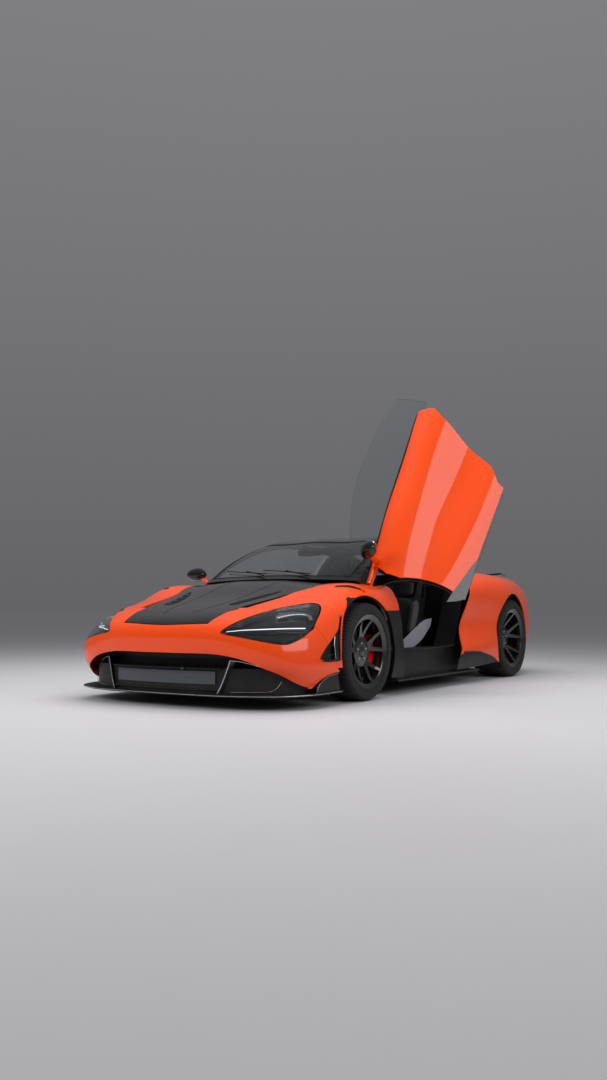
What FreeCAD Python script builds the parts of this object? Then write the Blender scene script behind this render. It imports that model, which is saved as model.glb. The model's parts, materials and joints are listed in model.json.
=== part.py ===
"""Mid-engined two-seat supercar with dihedral doors, in millimetres.

X points forward, Y to the car's left, Z up. The origin is on the ground, midway between the axles,
on the centre plane. The left door is stored open, as it stands in the photograph.
"""

import FreeCAD
import Part
import Sketcher
import math
import os

V = FreeCAD.Vector
doc = FreeCAD.newDocument("supercar")

# Driving sizes

SIZES = {
    "wheelbase": 2670.0,
    "body_half_width": 965.0,
    "roof_height": 1195.0,
    "front_wheel_y": 826.0,
    "rear_wheel_y": 806.0,
    "front_tyre_radius": 327.0,
    "rear_tyre_radius": 345.5,
    "front_tyre_width": 245.0,
    "rear_tyre_width": 305.0,
    "front_rim_radius": 241.0,
    "rear_rim_radius": 254.0,
    "rim_wall": 9.0,
    "rim_flange": 10.0,
    "hub_bore_radius": 36.0,
    "hub_face": 20.0,
    "hub_depth": 40.0,
    "front_disc_radius": 195.0,
    "rear_disc_radius": 190.0,
    "disc_thickness": 32.0,
    "fit_gap": 0.3,
    "shell_gap": 0.8,
    "kingpin_inset": 95.0,
    "kingpin_radius": 12.0,
    "kingpin_reach": 125.0,
    "front_arch_radius": 376.0,
    "rear_arch_radius": 398.0,
    "shut_radius": 560.0,
    "skin": 12.0,
    "door_thickness": 66.0,
    "panel_gap": 5.0,
    "seam_gap": 0.6,
    "glass_thickness": 5.0,
    "floor_height": 100.0,
    "tray_thickness": 6.0,
    "sill_height": 300.0,
    "cabin_front": 880.0,
    "cabin_rear": -560.0,
    "frame_half_width": 440.0,
    "frame_wall": 40.0,
    "hinge_radius": 14.0,
    "door_swing": 76.0,
    "steering_wheel_radius": 178.0,
}

sheet = doc.addObject("Spreadsheet::Sheet", "Sizes")
for row, (name, value) in enumerate(SIZES.items(), start=1):
    sheet.set("A%d" % row, name)
    sheet.set("B%d" % row, str(value))
    sheet.setAlias("B%d" % row, name)
doc.recompute()


class Size:
    """A length with its value and the expression that binds it to the sheet."""

    def __init__(self, value, text):
        self.value = float(value)
        self.text = text

    def __float__(self):
        return self.value

    def __add__(self, other):
        return Size(self.value + float(other), "(%s + %s)" % (self.text, words(other)))

    def __radd__(self, other):
        return Size(float(other) + self.value, "(%s + %s)" % (words(other), self.text))

    def __sub__(self, other):
        return Size(self.value - float(other), "(%s - %s)" % (self.text, words(other)))

    def __rsub__(self, other):
        return Size(float(other) - self.value, "(%s - %s)" % (words(other), self.text))

    def __mul__(self, factor):
        return Size(self.value * factor, "(%s * %s)" % (self.text, factor))

    def __truediv__(self, factor):
        return Size(self.value / factor, "(%s / %s)" % (self.text, factor))

    def __neg__(self):
        return Size(-self.value, "(-1 * %s)" % self.text)


def words(number):
    return number.text if isinstance(number, Size) else repr(float(number))


class Sizes:
    """Reads every aliased cell of the sheet as an attribute."""

    def __init__(self, names):
        for name in names:
            setattr(self, name, Size(sheet.get(name), "Sizes." + name))


s = Sizes(SIZES)
front_axle = s.wheelbase / 2
rear_axle = -(s.wheelbase / 2)
FRONT = float(front_axle)
REAR = float(rear_axle)
HALF = float(s.body_half_width)
GAP = float(s.panel_gap)
SEAM = float(s.seam_gap)
FIT = float(s.fit_gap)
SHELL = float(s.shell_gap)
SKIN = float(s.skin)

made = []


def keep(piece, label):
    piece.Label = label
    made.append(piece)
    return piece


def feature(label, shape):
    piece = doc.addObject("Part::Feature", label)
    piece.Shape = shape
    return keep(piece, label)


# Smooth surfaces through character lines


def spline_through(values):
    """Natural cubic spline through evenly numbered values, as a function of the number."""
    count = len(values)
    bend = [0.0] * count
    share = [0.0] * count
    right = [0.0] * count
    for i in range(1, count - 1):
        weight = 4.0 - share[i - 1]
        share[i] = 1.0 / weight
        jump = values[i + 1] - 2.0 * values[i] + values[i - 1]
        right[i] = (6.0 * jump - right[i - 1]) / weight
    for i in range(count - 2, 0, -1):
        bend[i] = right[i] - share[i] * bend[i + 1]

    def at(u):
        i = min(max(int(u), 0), count - 2)
        b = u - i
        a = 1.0 - b
        curve = (a**3 - a) * bend[i] + (b**3 - b) * bend[i + 1]
        return a * values[i] + b * values[i + 1] + curve / 6.0

    return at


class Surface:
    """A smooth surface through stations of points. t runs along the car and s across it."""

    def __init__(self, stations):
        self.across = [[spline_through([p[k] for p in row]) for k in range(3)] for row in stations]
        self.cache = {}

    def point(self, t, s_value):
        key = round(s_value, 6)
        if key not in self.cache:
            rows = [[line(s_value) for line in row] for row in self.across]
            self.cache[key] = [spline_through([row[k] for row in rows]) for k in range(3)]
        return V(*[line(t) for line in self.cache[key]])

    def normal(self, t, s_value):
        step = 0.02
        along = self.point(t + step, s_value) - self.point(t - step, s_value)
        across = self.point(t, s_value + step) - self.point(t, s_value - step)
        return along.cross(across).normalize()

    def off(self, t, s_value, distance):
        return self.point(t, s_value) + self.normal(t, s_value) * distance


def skin_face(grid):
    surface = Part.BSplineSurface()
    surface.interpolate(grid)
    return surface.toShape()


def samples(start, end, parts=4):
    """Numbers from start to end that share their places with every other piece's."""
    stops = [start] + [n for n in range(-2, 20) if start + 0.1 < n < end - 0.1] + [end]
    found = []
    for a, b in zip(stops, stops[1:]):
        count = max(1, round((b - a) * parts))
        found += [a + (b - a) * i / count for i in range(count)]
    return found + [end] if len(found) > 2 else [start, (2 * start + end) / 3, (start + 2 * end) / 3, end]


def offset_grid(surface, t_range, s_range, distance, parts):
    return [[surface.off(t, s_value, distance) for s_value in samples(*s_range, parts)]
            for t in samples(*t_range, parts)]


def outward(solid):
    if solid.Volume < 0:
        solid.reverse()
    return solid


def patch(surface, t_range, s_range, outer, inner, parts=4):
    """The solid between two offsets of a surface, over a rectangle of its t and s."""
    grids = [skin_face(offset_grid(surface, t_range, s_range, distance, parts))
             for distance in (outer, inner)]
    sides = [Part.makeRuledSurface(a, b) for a, b in zip(grids[0].Edges, grids[1].Edges)]
    return outward(Part.makeSolid(Part.makeShell(grids + sides)))


def prism(points, direction):
    """A closed outline of points and (middle, end) arcs, pushed along a direction."""
    edges = []
    here = points[0]
    for item in points[1:] + [points[0]]:
        if isinstance(item, tuple):
            edges.append(Part.Arc(here, item[0], item[1]).toShape())
            here = item[1]
        elif (item - here).Length > 0.01:
            edges.append(Part.LineSegment(here, item).toShape())
            here = item
    face = Part.Face(Part.Wire(edges))
    return face.extrude(direction)


def across_prism(outline, y_from, y_to):
    """A prism along Y of an outline of (x, z) points."""
    return prism([V(x, y_from, z) for x, z in outline], V(0, y_to - y_from, 0))


def down_prism(outline, z_from, z_to):
    return prism([V(x, y, z_from) for x, y in outline], V(0, 0, z_to - z_from))


def block(x0, x1, y0, y1, z0, z1):
    return Part.makeBox(x1 - x0, y1 - y0, z1 - z0, V(x0, y0, z0))


def rod(start, end, radius):
    return Part.makeCylinder(radius, (end - start).Length, start, end - start)


def fuse(shapes):
    return shapes[0].fuse(shapes[1:]).removeSplitter() if len(shapes) > 1 else shapes[0]


def mirrored(shape):
    return shape.mirror(V(0, 0, 0), V(0, 1, 0))


def both_sides(shape):
    return Part.makeCompound([shape, mirrored(shape)])


def one_solid(shape):
    """The largest solid of a cut."""
    return max(shape.Solids, key=lambda solid: solid.Volume)


def carve(shape, tools):
    """Cuts tools away one after the other and keeps the largest solid."""
    whole = shape.Volume
    for tool in tools:
        shape = shape.cut(tool)
    kept = one_solid(shape)
    if kept.Volume < 0.9 * shape.Volume:
        raise SystemExit("a cut parted a piece: %.2f of %.2f" % (kept.Volume / whole, shape.Volume / whole))
    return kept


# Character lines of the body, left half, outside to centre: hem, flank, waist, shoulder, crest.
# Each station: axle it is measured from, then per line (distance ahead of that axle, inset from
# the half width, height), then per inner line (distance ahead, height): valley, deck, centre.
# Valley and deck stand at 0.70 and 0.35 of the crest's distance from the centre plane.
VALLEY_SHARE = 0.70
DECK_SHARE = 0.35
BODY = [
    ("lip", FRONT, [(645, 75, 125), (750, 115, 160), (850, 175, 218), (915, 255, 258), (965, 365, 304)],
     [(1000, 336), (1028, 340), (1035, 340)]),
    ("bulge", FRONT, [(560, 35, 188), (700, 60, 220), (825, 105, 270), (905, 185, 318), (962, 305, 364)],
     [(1010, 398), (1040, 410), (1046, 412)]),
    ("crease", FRONT, [(470, 20, 210), (600, 30, 270), (720, 65, 345), (825, 135, 425), (905, 285, 490)],
     [(965, 517), (1000, 522), (1006, 522)]),
    ("lamp", FRONT, [(400, 15, 214), (470, 17, 304), (530, 40, 420), (590, 105, 525), (650, 245, 600)],
     [(700, 622), (740, 618), (750, 615)]),
    ("fore", FRONT, [(265, 13, 190), (265, 13, 330), (265, 20, 470), (270, 60, 595), (290, 175, 680)],
     [(330, 700), (370, 702), (380, 700)]),
    ("front_axle", FRONT, [(0, 15, 160), (0, 8, 320), (0, 7, 490), (0, 30, 660), (0, 165, 777)],
     [(0, 782), (0, 800), (0, 806)]),
    ("scuttle", FRONT, [(-405, 30, 130), (-405, 25, 300), (-405, 35, 470), (-405, 50, 650), (-405, 175, 770)],
     [(-405, 800), (-405, 825), (-405, 835)]),
    ("door_front", FRONT, [(-900, 40, 125), (-900, 30, 285), (-900, 80, 470), (-900, 65, 690),
                           (-900, 205, 835)],
     [(-900, 850), (-900, 860), (-900, 865)]),
    ("door_mid", REAR, [(1335, 40, 125), (1335, 30, 285), (1335, 110, 480), (1335, 70, 715),
                        (1335, 230, 865)],
     [(1335, 880), (1335, 890), (1335, 890)]),
    ("door_rear", REAR, [(835, 35, 130), (835, 20, 300), (835, 70, 500), (835, 40, 765), (835, 220, 905)],
     [(835, 920), (835, 930), (835, 930)]),
    ("haunch", REAR, [(385, 15, 150), (385, 5, 330), (385, 20, 520), (385, 10, 770), (385, 165, 915)],
     [(385, 920), (385, 930), (385, 930)]),
    ("rear_axle", REAR, [(0, 10, 170), (0, 0, 330), (0, 0, 520), (0, 10, 755), (0, 135, 895)],
     [(0, 905), (0, 915), (0, 918)]),
    ("tail", REAR, [(-415, 45, 270), (-415, 38, 400), (-415, 42, 545), (-415, 72, 735), (-415, 190, 880)],
     [(-415, 885), (-415, 890), (-415, 895)]),
    ("tail_edge", REAR, [(-745, 140, 350), (-745, 125, 465), (-745, 130, 585), (-745, 155, 730),
                         (-745, 265, 860)],
     [(-745, 870), (-745, 880), (-745, 885)]),
]
CENTRE_S = 7


def body_stations():
    rows = []
    for name, axle, outer, inner in BODY:
        left = [(axle + ahead, HALF - inset, z) for ahead, inset, z in outer]
        crest_y = left[-1][1]
        shares = (VALLEY_SHARE, DECK_SHARE, 0.0)
        left += [(axle + ahead, crest_y * share, z) for (ahead, z), share in zip(inner, shares)]
        right = [(x, -y, z) for x, y, z in reversed(left[:-1])]
        rows.append(left + right)
    return rows


body = Surface(body_stations())

# Canopy lines: belt, rail (windscreen pillar and roof edge), roof, centre, as above.
# The inner numbers are (distance ahead, half width, height below the roof).
CANOPY = [
    ("screen_base", FRONT, [(-315, 690, 405), (-275, 655, 382), (-185, 350, 370), (-155, 0, 365)]),
    ("screen_mid", FRONT, [(-635, 735, 395), (-565, 650, 222), (-515, 330, 198), (-495, 0, 188)]),
    ("header", FRONT, [(-1005, 740, 355), (-975, 585, 74), (-915, 300, 42), (-895, 0, 34)]),
    ("roof_top", REAR, [(1235, 725, 325), (1235, 565, 30), (1235, 290, -9), (1235, 0, -17)]),
    ("roof_rear", REAR, [(735, 730, 285), (735, 545, 70), (735, 280, 28), (735, 0, 18)]),
    ("screen_rear", REAR, [(235, 720, 275), (235, 480, 172), (235, 260, 126), (235, 0, 116)]),
    ("deck", REAR, [(-245, 620, 290), (-245, 420, 265), (-245, 240, 240), (-245, 0, 235)]),
]
CANOPY_CENTRE = 3


def canopy_stations():
    rows = []
    for name, axle, points in CANOPY:
        left = [(axle + ahead, y, float(s.roof_height) - drop) for ahead, y, drop in points]
        rows.append(left + [(x, -y, z) for x, y, z in reversed(left[:-1])])
    return rows


canopy = Surface(canopy_stations())

# Wheels: tyres, rims, discs. Their own axis is Y, with the outer face at +Y.


def profile_sketch(owner, name, role, corners, close=True):
    """A closed sketch whose corners are bound to the sheet."""
    sketch = owner.newObject("Sketcher::SketchObject", name)
    plane = [item for item in owner.Origin.OriginFeatures if item.Role == role][0]
    sketch.AttachmentSupport = [(plane, "")]
    sketch.MapMode = "FlatFace"
    count = len(corners)
    for i in range(count):
        here, there = corners[i], corners[(i + 1) % count]
        start = V(float(here[0]), float(here[1]), 0)
        end = V(float(there[0]), float(there[1]), 0)
        sketch.addGeometry(Part.LineSegment(start, end), False)
    for i in range(count):
        sketch.addConstraint(Sketcher.Constraint("Coincident", i, 2, (i + 1) % count, 1))
    for i, corner in enumerate(corners):
        for kind, number in zip(("DistanceX", "DistanceY"), corner):
            at = sketch.addConstraint(Sketcher.Constraint(kind, -1, 1, i, 1, float(number)))
            if isinstance(number, Size):
                sketch.setExpression("Constraints[%d]" % at, number.text)
    return sketch


def revolved_body(label, corners, angle=360.0):
    """A body turned about Y from (radius, y) corners."""
    owner = doc.addObject("PartDesign::Body", label)
    sketch = profile_sketch(owner, label + "_profile", "XY_Plane", corners)
    turn = owner.newObject("PartDesign::Revolution", label + "_turn")
    turn.Profile = sketch
    turn.ReferenceAxis = (sketch, ["V_Axis"])
    turn.Angle = angle
    doc.recompute()
    return keep(owner, label)


def tyre_corners(radius, width, rim):
    half = width / 2
    one = [
        (rim + s.fit_gap, half - 21),
        (rim + 11, half - 17),
        (rim + 14, half - 4),
        ((radius + rim) / 2, half),
        (radius - 20, half - 4),
        (radius - 6, half - 18),
        (radius, half - 42),
    ]
    other = [(r, -y) for r, y in reversed(one)]
    return one + other


def rim_corners(rim, width):
    half = width / 2
    flange = rim + s.rim_flange
    bore = s.hub_bore_radius
    hub_front = s.hub_face + s.hub_depth
    inside = rim - s.rim_wall
    return [
        (bore, s.hub_face + 0),
        (bore, hub_front),
        (bore + 40, hub_front),
        (bore + 62, hub_front - 6),
        (rim - 62, half - 42),
        (rim - 16, half - 14),
        (flange, half - 6),
        (flange, half - 16),
        (rim + 0, half - 20),
        (rim + 0, -(half - 20)),
        (flange, -(half - 16)),
        (flange, -(half - 8)),
        (inside, -(half - 8)),
        (inside, half - 48),
        (rim - 62, half - 70),
        (bore + 60, s.hub_face + 12),
        (bore + 50, s.hub_face + 0),
    ]


def polar(radius, degrees):
    angle = math.radians(degrees)
    return radius * math.sin(angle), radius * math.cos(angle)


def pocket_ring(owner, name, corners, count):
    """A window cut through the wheel face, repeated about the axle."""
    sketch = profile_sketch(owner, name, "XZ_Plane", corners)
    cut = owner.newObject("PartDesign::Pocket", name + "_cut")
    cut.Profile = sketch
    cut.Type = 1
    cut.Midplane = True
    doc.recompute()
    ring = owner.newObject("PartDesign::PolarPattern", name + "_ring")
    ring.Originals = [cut]
    axis = [item for item in owner.Origin.OriginFeatures if item.Role == "Y_Axis"][0]
    ring.Axis = (axis, [""])
    ring.Angle = 360
    ring.Occurrences = count
    owner.Tip = ring
    doc.recompute()


SPOKE_PAIRS = 5


def rim_body(label, rim, width):
    owner = revolved_body(label, rim_corners(rim, width))
    top = float(rim) - 26
    wide = [polar(104, 17), polar(top, 20), polar(top, 28), polar(top, 36), polar(top, 44),
            polar(top, 52), polar(104, 55), polar(100, 36)]
    pocket_ring(owner, label + "_wide", wide, SPOKE_PAIRS)
    narrow = [polar(124, -2), polar(top, -14), polar(top, -5), polar(top, 5), polar(top, 14),
              polar(124, 2)]
    pocket_ring(owner, label + "_narrow", narrow, SPOKE_PAIRS)
    return owner


def disc_corners(radius):
    bore = s.hub_bore_radius + 1
    face = s.hub_face - s.fit_gap
    return [
        (bore, face - 12),
        (bore, face),
        (bore + 46, face),
        (bore + 52, face - 18),
        (radius + 0, face - 18),
        (radius + 0, face - 18 - s.disc_thickness),
        (radius - 72, face - 18 - s.disc_thickness),
        (radius - 72, face - 24),
        (bore + 44, face - 24),
        (bore + 38, face - 12),
    ]


WHEELS = [
    # name, axle, across, side, tyre radius, tyre width, rim radius, disc radius
    ("front_left", front_axle, s.front_wheel_y, 1, s.front_tyre_radius, s.front_tyre_width,
     s.front_rim_radius, s.front_disc_radius),
    ("front_right", front_axle, s.front_wheel_y, -1, s.front_tyre_radius, s.front_tyre_width,
     s.front_rim_radius, s.front_disc_radius),
    ("rear_left", rear_axle, s.rear_wheel_y, 1, s.rear_tyre_radius, s.rear_tyre_width,
     s.rear_rim_radius, s.rear_disc_radius),
    ("rear_right", rear_axle, s.rear_wheel_y, -1, s.rear_tyre_radius, s.rear_tyre_width,
     s.rear_rim_radius, s.rear_disc_radius),
]


def stand(piece, x, y, z, turned):
    """Sets a piece at a wheel centre, its outer face turned to the right-hand side if asked."""
    half_turn = FreeCAD.Rotation(V(0, 0, 1), 180.0 if turned else 0.0)
    piece.Placement = FreeCAD.Placement(V(float(x), float(y), float(z)), half_turn)
    for axis, number in zip("xyz", (x, y, z)):
        piece.setExpression("Placement.Base." + axis, number.text)


def wheel_placement(axle, across, side, radius):
    turn = FreeCAD.Rotation(V(0, 0, 1), 180.0 if side < 0 else 0.0)
    return FreeCAD.Placement(V(float(axle), side * float(across), float(radius)), turn)


CALIPER_ARC = 62.0
CALIPER_REACH = 40.0


def caliper_corners(disc):
    """A yoke round the disc's rim, in (radius, y)."""
    front = float(s.hub_face) - FIT - 18.0
    back = front - float(s.disc_thickness)
    top = float(disc) + 15.0
    low = float(disc) - 66.0
    return [(low, front + 3), (low, front + 30), (top, front + 30), (top, back - 30),
            (low, back - 30), (low, back - 3), (float(disc) + 3, back - 3), (float(disc) + 3, front + 3)]


def turned_sector(corners, middle, arc):
    """A sector turned about Y, its middle at an angle from +X towards +Z."""
    face = Part.Face(Part.makePolygon([V(r, y, 0) for r, y in corners + corners[:1]]))
    face.rotate(V(0, 0, 0), V(0, 1, 0), -(middle - arc / 2.0))
    return face.revolve(V(0, 0, 0), V(0, 1, 0), -arc)


def upright_shape(disc, caliper_at):
    """Carrier behind a wheel: spindle, hub carrier, kingpin post and caliper bracket."""
    face = float(s.hub_face) - FIT - 18.0
    back = face - float(s.disc_thickness) - 30.0
    spindle = Part.makeCylinder(float(s.hub_bore_radius) - FIT, float(s.hub_face) + 34 - back + 12,
                                V(0, back - 12, 0), V(0, 1, 0))
    carrier = Part.makeCylinder(64, 24, V(0, back - 24 - FIT, 0), V(0, 1, 0))
    inset = float(s.kingpin_inset)
    reach = float(s.kingpin_reach)
    post = block(-26, 26, -inset - 16, back - FIT, -reach + 22, reach - 22)
    pin = Part.makeCylinder(float(s.kingpin_radius), 2 * reach, V(0, -inset, -reach), V(0, 0, 1))
    low = float(disc) - 66.0
    bracket = turned_sector([(40, back - 14), (low + 30, back - 14), (low + 30, back - FIT),
                             (40, back - FIT)], caliper_at, CALIPER_ARC)
    return fuse([spindle, carrier, post, pin, bracket])


for name, axle, across, side, tyre_radius, tyre_width, rim, disc in WHEELS:
    for kind, piece in (
        ("tyre", revolved_body("tyre_" + name, tyre_corners(tyre_radius, tyre_width, rim))),
        ("rim", rim_body("rim_" + name, rim, tyre_width)),
        ("disc", revolved_body("disc_" + name, disc_corners(disc))),
    ):
        stand(piece, axle, across if side > 0 else -across, tyre_radius + 0, side < 0)
    behind = name.startswith("front")
    caliper_at = 180.0 if behind == (side > 0) else 0.0
    place = wheel_placement(axle, across, side, tyre_radius)
    caliper = turned_sector(caliper_corners(disc), caliper_at, CALIPER_ARC)
    caliper.Placement = place
    upright = upright_shape(disc, caliper_at)
    upright.Placement = place
    if behind:
        feature("caliper_" + name, caliper)
        feature("upright_" + name, upright)
    elif side < 0:
        feature("rear_calipers", both_sides(caliper))
        feature("rear_uprights", both_sides(upright))

# Body outlines, as (x, z) seen from the side or (x, y) seen from above

SHUT_Z = float(s.front_tyre_radius)
SHUT_R = float(s.shut_radius)
DOOR_FOOT = 118.0
BELT_TIP = FRONT - 535.0


def on_shut_arc(z, radius):
    return FRONT - math.sqrt(radius**2 - (z - SHUT_Z) ** 2)


def door_prism(grow, y_from=400.0):
    """The door seen from the side, grown by a gap."""
    radius = SHUT_R - grow
    low, high = DOOR_FOOT - grow, 600.0
    middle = (low + high) / 2.0
    points = [
        V(on_shut_arc(low, radius), y_from, low),
        (V(on_shut_arc(middle, radius), y_from, middle), V(on_shut_arc(high, radius), y_from, high)),
        V(on_shut_arc(high, radius), y_from, 700.0),
        V(BELT_TIP + grow, y_from, 770.0),
        V(BELT_TIP + grow, y_from, 1300.0),
        V(REAR + 835.0 - grow, y_from, 1300.0),
        V(REAR + 835.0 - grow, y_from, 830.0),
        V(REAR + 885.0 - grow, y_from, 760.0),
        V(REAR + 985.0 - grow, y_from, 520.0),
        V(REAR + 1105.0 - grow, y_from, 280.0),
        V(REAR + 1205.0 - grow, y_from, 190.0),
        V(REAR + 1225.0 - grow, y_from, low),
    ]
    return prism(points, V(0, 900, 0))


def hood_prism(grow):
    """The front lid seen from above."""
    nose, back = FRONT + 1013.0 + grow, FRONT - 140.0 - grow
    side = [(nose - 32, 345 + grow), (FRONT + 856, 368 + grow), (FRONT + 616, 412 + grow),
            (FRONT + 304, 480 + grow), (FRONT + 135, 556 + grow), (back, 620 + grow)]
    points = [V(x, y, 0) for x, y in side]
    points.append((V(FRONT - 60.0 - grow, 0, 0), V(back, -620 - grow, 0)))
    points += [V(x, -y, 0) for x, y in reversed(side[:-1])]
    points.append((V(nose, 0, 0), V(nose - 32, 345 + grow, 0)))
    return prism(points, V(0, 0, 1200))


def grown_outline(points, grow):
    """An outline scaled about its middle so that its points move out by a distance."""
    a = sum(p[0] for p in points) / len(points)
    b = sum(p[1] for p in points) / len(points)
    grown = []
    for p, q in points:
        factor = 1.0 + grow / math.hypot(p - a, q - b)
        grown.append((a + (p - a) * factor, b + (q - b) * factor))
    return grown


# Headlamp eye seen from ahead, (y, z)
LAMP_OUTLINE = [(458, 468), (519, 531), (581, 576), (640, 613), (700, 640), (763, 651), (815, 628),
                (856, 560), (878, 490), (872, 434), (843, 401), (789, 402), (728, 414), (619, 436),
                (539, 450)]
# Louvre opening seen from the side, (distance ahead of the front axle, z)
VENT_OUTLINE = [(310, 568), (330, 560), (388, 479), (543, 371), (608, 308), (566, 286), (390, 288),
                (391, 340), (384, 400), (362, 479), (335, 530)]


def lamp_prism(grow):
    points = [V(FRONT + 100, y, z) for y, z in grown_outline(LAMP_OUTLINE, grow)]
    edge = Part.BSplineCurve()
    edge.interpolate(points + points[:1])
    return Part.Face(Part.Wire([edge.toShape()])).extrude(V(1100, 0, 0))


def vent_prism(grow):
    points = [V(FRONT + x, 700, z) for x, z in grown_outline(VENT_OUTLINE, grow)]
    return prism(points, V(0, 400, 0))


def arch_cylinder(axle, radius, centre_z):
    return Part.makeCylinder(radius, 700, V(axle, 450, centre_z), V(0, 1, 0))


def under_surface(surface, t_range, s_range, distance, depth, parts=4):
    """Everything from an offset of a surface down to a depth below it."""
    top = skin_face(offset_grid(surface, t_range, s_range, distance, parts))
    return outward(top.extrude(V(0, 0, -depth)))


front_arch = arch_cylinder(FRONT, float(s.front_arch_radius), float(s.front_tyre_radius))
rear_arch = arch_cylinder(REAR, float(s.rear_arch_radius), float(s.rear_tyre_radius))
arches = [front_arch, rear_arch, mirrored(front_arch), mirrored(rear_arch)]
hood_cut = hood_prism(GAP)
lamp_cut = lamp_prism(0.0)
vent_cut = vent_prism(0.0)
doors_cut = [door_prism(GAP), mirrored(door_prism(GAP))]
COWL_SIDE = 690.0
cowl_block = block(FRONT - 900, FRONT - 138, -COWL_SIDE, COWL_SIDE, 600, 1100)
under_canopy = under_surface(canopy, (-0.02, 6.0), (-0.12, 6.12), FIT, 320.0)
hinge_well = block(FRONT - 600, FRONT - 362, COWL_SIDE, 772, 660, 1000)
# the shut door's front corner turns past the wing's inner edge here
hinge_relief = block(FRONT - 560, FRONT - 488, 764, 777, 760, 800)

# Front bumper, fenders and the lid between them

SPLIT = 3.0
bumper = patch(body, (0.0, SPLIT - 0.008), (0.0, 14.0), 0.0, -SKIN)
bumper = carve(bumper, [hood_cut, lamp_cut, mirrored(lamp_cut), vent_cut, mirrored(vent_cut)])
feature("front_bumper", bumper)

fender_whole = patch(body, (SPLIT, 7.1), (0.0, 5.2), 0.0, -SKIN)
for tool in (front_arch, hood_cut, lamp_cut, vent_cut, doors_cut[0], cowl_block, hinge_well, hinge_relief,
             under_canopy, block(-200, BELT_TIP, 300, 1200, 0, 1400),
             block(FRONT + 300, FRONT + 500, 860, 1040, 100, 241)):
    fender_whole = fender_whole.cut(tool)
low = block(FRONT - 1200, FRONT, 300, 1300, 0, 600)
fender = one_solid(fender_whole.cut(low))
feature("fender_left", fender)
feature("fender_right", mirrored(fender))
blade = one_solid(fender_whole.common(block(FRONT - 1200, FRONT, 300, 1300, 0, 600 - SEAM)))
feature("fender_blades", both_sides(blade))

hood_whole = patch(body, (1.6, 6.3), (3.6, 10.4), 0.0, -SKIN)
lid = one_solid(hood_whole.common(hood_prism(0.0)))
LID_HINGE = V(FRONT - 170.0, 0, 735.0)
lid_pins = []
for side in (1, -1):
    pin = Part.makeCylinder(8, 60, V(LID_HINGE.x, side * 510 - 30, LID_HINGE.z), V(0, 1, 0))
    low_y, high_y = side * 488 - 7, side * 488 + 7
    lid_pins += [pin, block(LID_HINGE.x - 8, LID_HINGE.x + 96, low_y, high_y, 727, 743),
                 block(LID_HINGE.x + 80, LID_HINGE.x + 96, low_y, high_y, 735, 795)]
feature("front_lid", lid.fuse(lid_pins))

# Doors

SWING = float(s.door_swing)
HINGE_POINT = V(FRONT - 333.0, 800.0, 711.0)
HINGE_AXIS = V(0.487, 0.739, -0.466).normalize()


def on_hinge(k):
    return HINGE_POINT + HINGE_AXIS * k


def swung(shape, degrees):
    turned = shape.copy()
    turned.rotate(HINGE_POINT, HINGE_AXIS, degrees)
    return turned


side_glass = patch(canopy, (0.75, 4.0), (-0.1, 0.88), -2.0, -2.0 - float(s.glass_thickness))
glass_slot = patch(canopy, (0.70, 4.05), (-0.13, 0.6), -2.0 + FIT, -2.0 - float(s.glass_thickness) - FIT)
door_outer = patch(body, (5.4, 9.4), (0.05, 4.2), 0.0, -SKIN)
door_outer = one_solid(door_outer.common(door_prism(0.0)))
door_inner = patch(body, (5.6, 9.3), (0.2, 4.18), -SKIN + 1.0, -float(s.door_thickness))
door_inner = door_inner.common(door_prism(-14.0))
door_inner = one_solid(door_inner.cut(block(BELT_TIP - 45, FRONT, 300, 1300, 0, 1300)))
tongue = patch(body, (5.6, 7.0), (3.6, 4.6), -2.0, -SKIN - 6)
tongue = tongue.common(block(FRONT - 640, FRONT - 410, 716, 757, 600, 1000))
hinge_pin = rod(on_hinge(-100), on_hinge(6), float(s.hinge_radius))
arm = rod(on_hinge(-80), V(BELT_TIP - 60, 752, 760), 11)
door_shape = fuse([door_outer, door_inner, tongue, hinge_pin, arm])
door_shape = one_solid(door_shape.cut(glass_slot))
feature("door_left", swung(door_shape, SWING))
feature("door_right", mirrored(door_shape))
feature("door_glass_left", swung(side_glass, SWING))
feature("door_glass_right", mirrored(side_glass))

MIRROR = V(FRONT - 555.0, 990.0, 890.0)
mirror_shell = Part.makeSphere(1.0)
stretch = FreeCAD.Matrix()
stretch.scale(62, 92, 55)
mirror_shell = mirror_shell.transformGeometry(stretch)
mirror_shell.translate(MIRROR)
stalk = rod(V(FRONT - 560, 785, 765), V(FRONT - 560, 945, 872), 9)
mirror = fuse([mirror_shell, stalk])
mirror = one_solid(mirror.cut(fuse([door_outer, door_inner])))
feature("door_mirror_left", swung(mirror, SWING))
feature("door_mirror_right", mirrored(mirror))

# Rear quarters, deck and tail

quarter = patch(body, (7.0, 13.0), (0.0, 4.6), 0.0, -SKIN)
quarter = carve(quarter, [doors_cut[0], rear_arch, under_canopy,
                          block(REAR + 1195, FRONT, 300, 1300, 0, 1400)])
# Lower edge of the painted quarter, (distance ahead of the rear axle, z)
QUARTER_HEM = [(1210, 205), (1160, 240), (1035, 268), (777, 258), (535, 215), (380, 160)]


def hem_prism(drop):
    line = [(REAR + x, z - drop) for x, z in QUARTER_HEM]
    return across_prism([(REAR + 1210, 0), *line, (REAR + 380, 0)], 300, 1300)


quarter_blade = one_solid(quarter.common(hem_prism(SEAM)))
feature("quarter_blades", both_sides(quarter_blade))
quarter = carve(quarter, [hem_prism(0.0)])
feature("quarter_left", quarter)
feature("quarter_right", mirrored(quarter))

deck = patch(body, (10.6, 13.0), (4.6 + 0.002, 9.4 - 0.002), 0.0, -SKIN)
deck = one_solid(deck.cut(under_canopy))
feature("rear_deck", deck)

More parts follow.
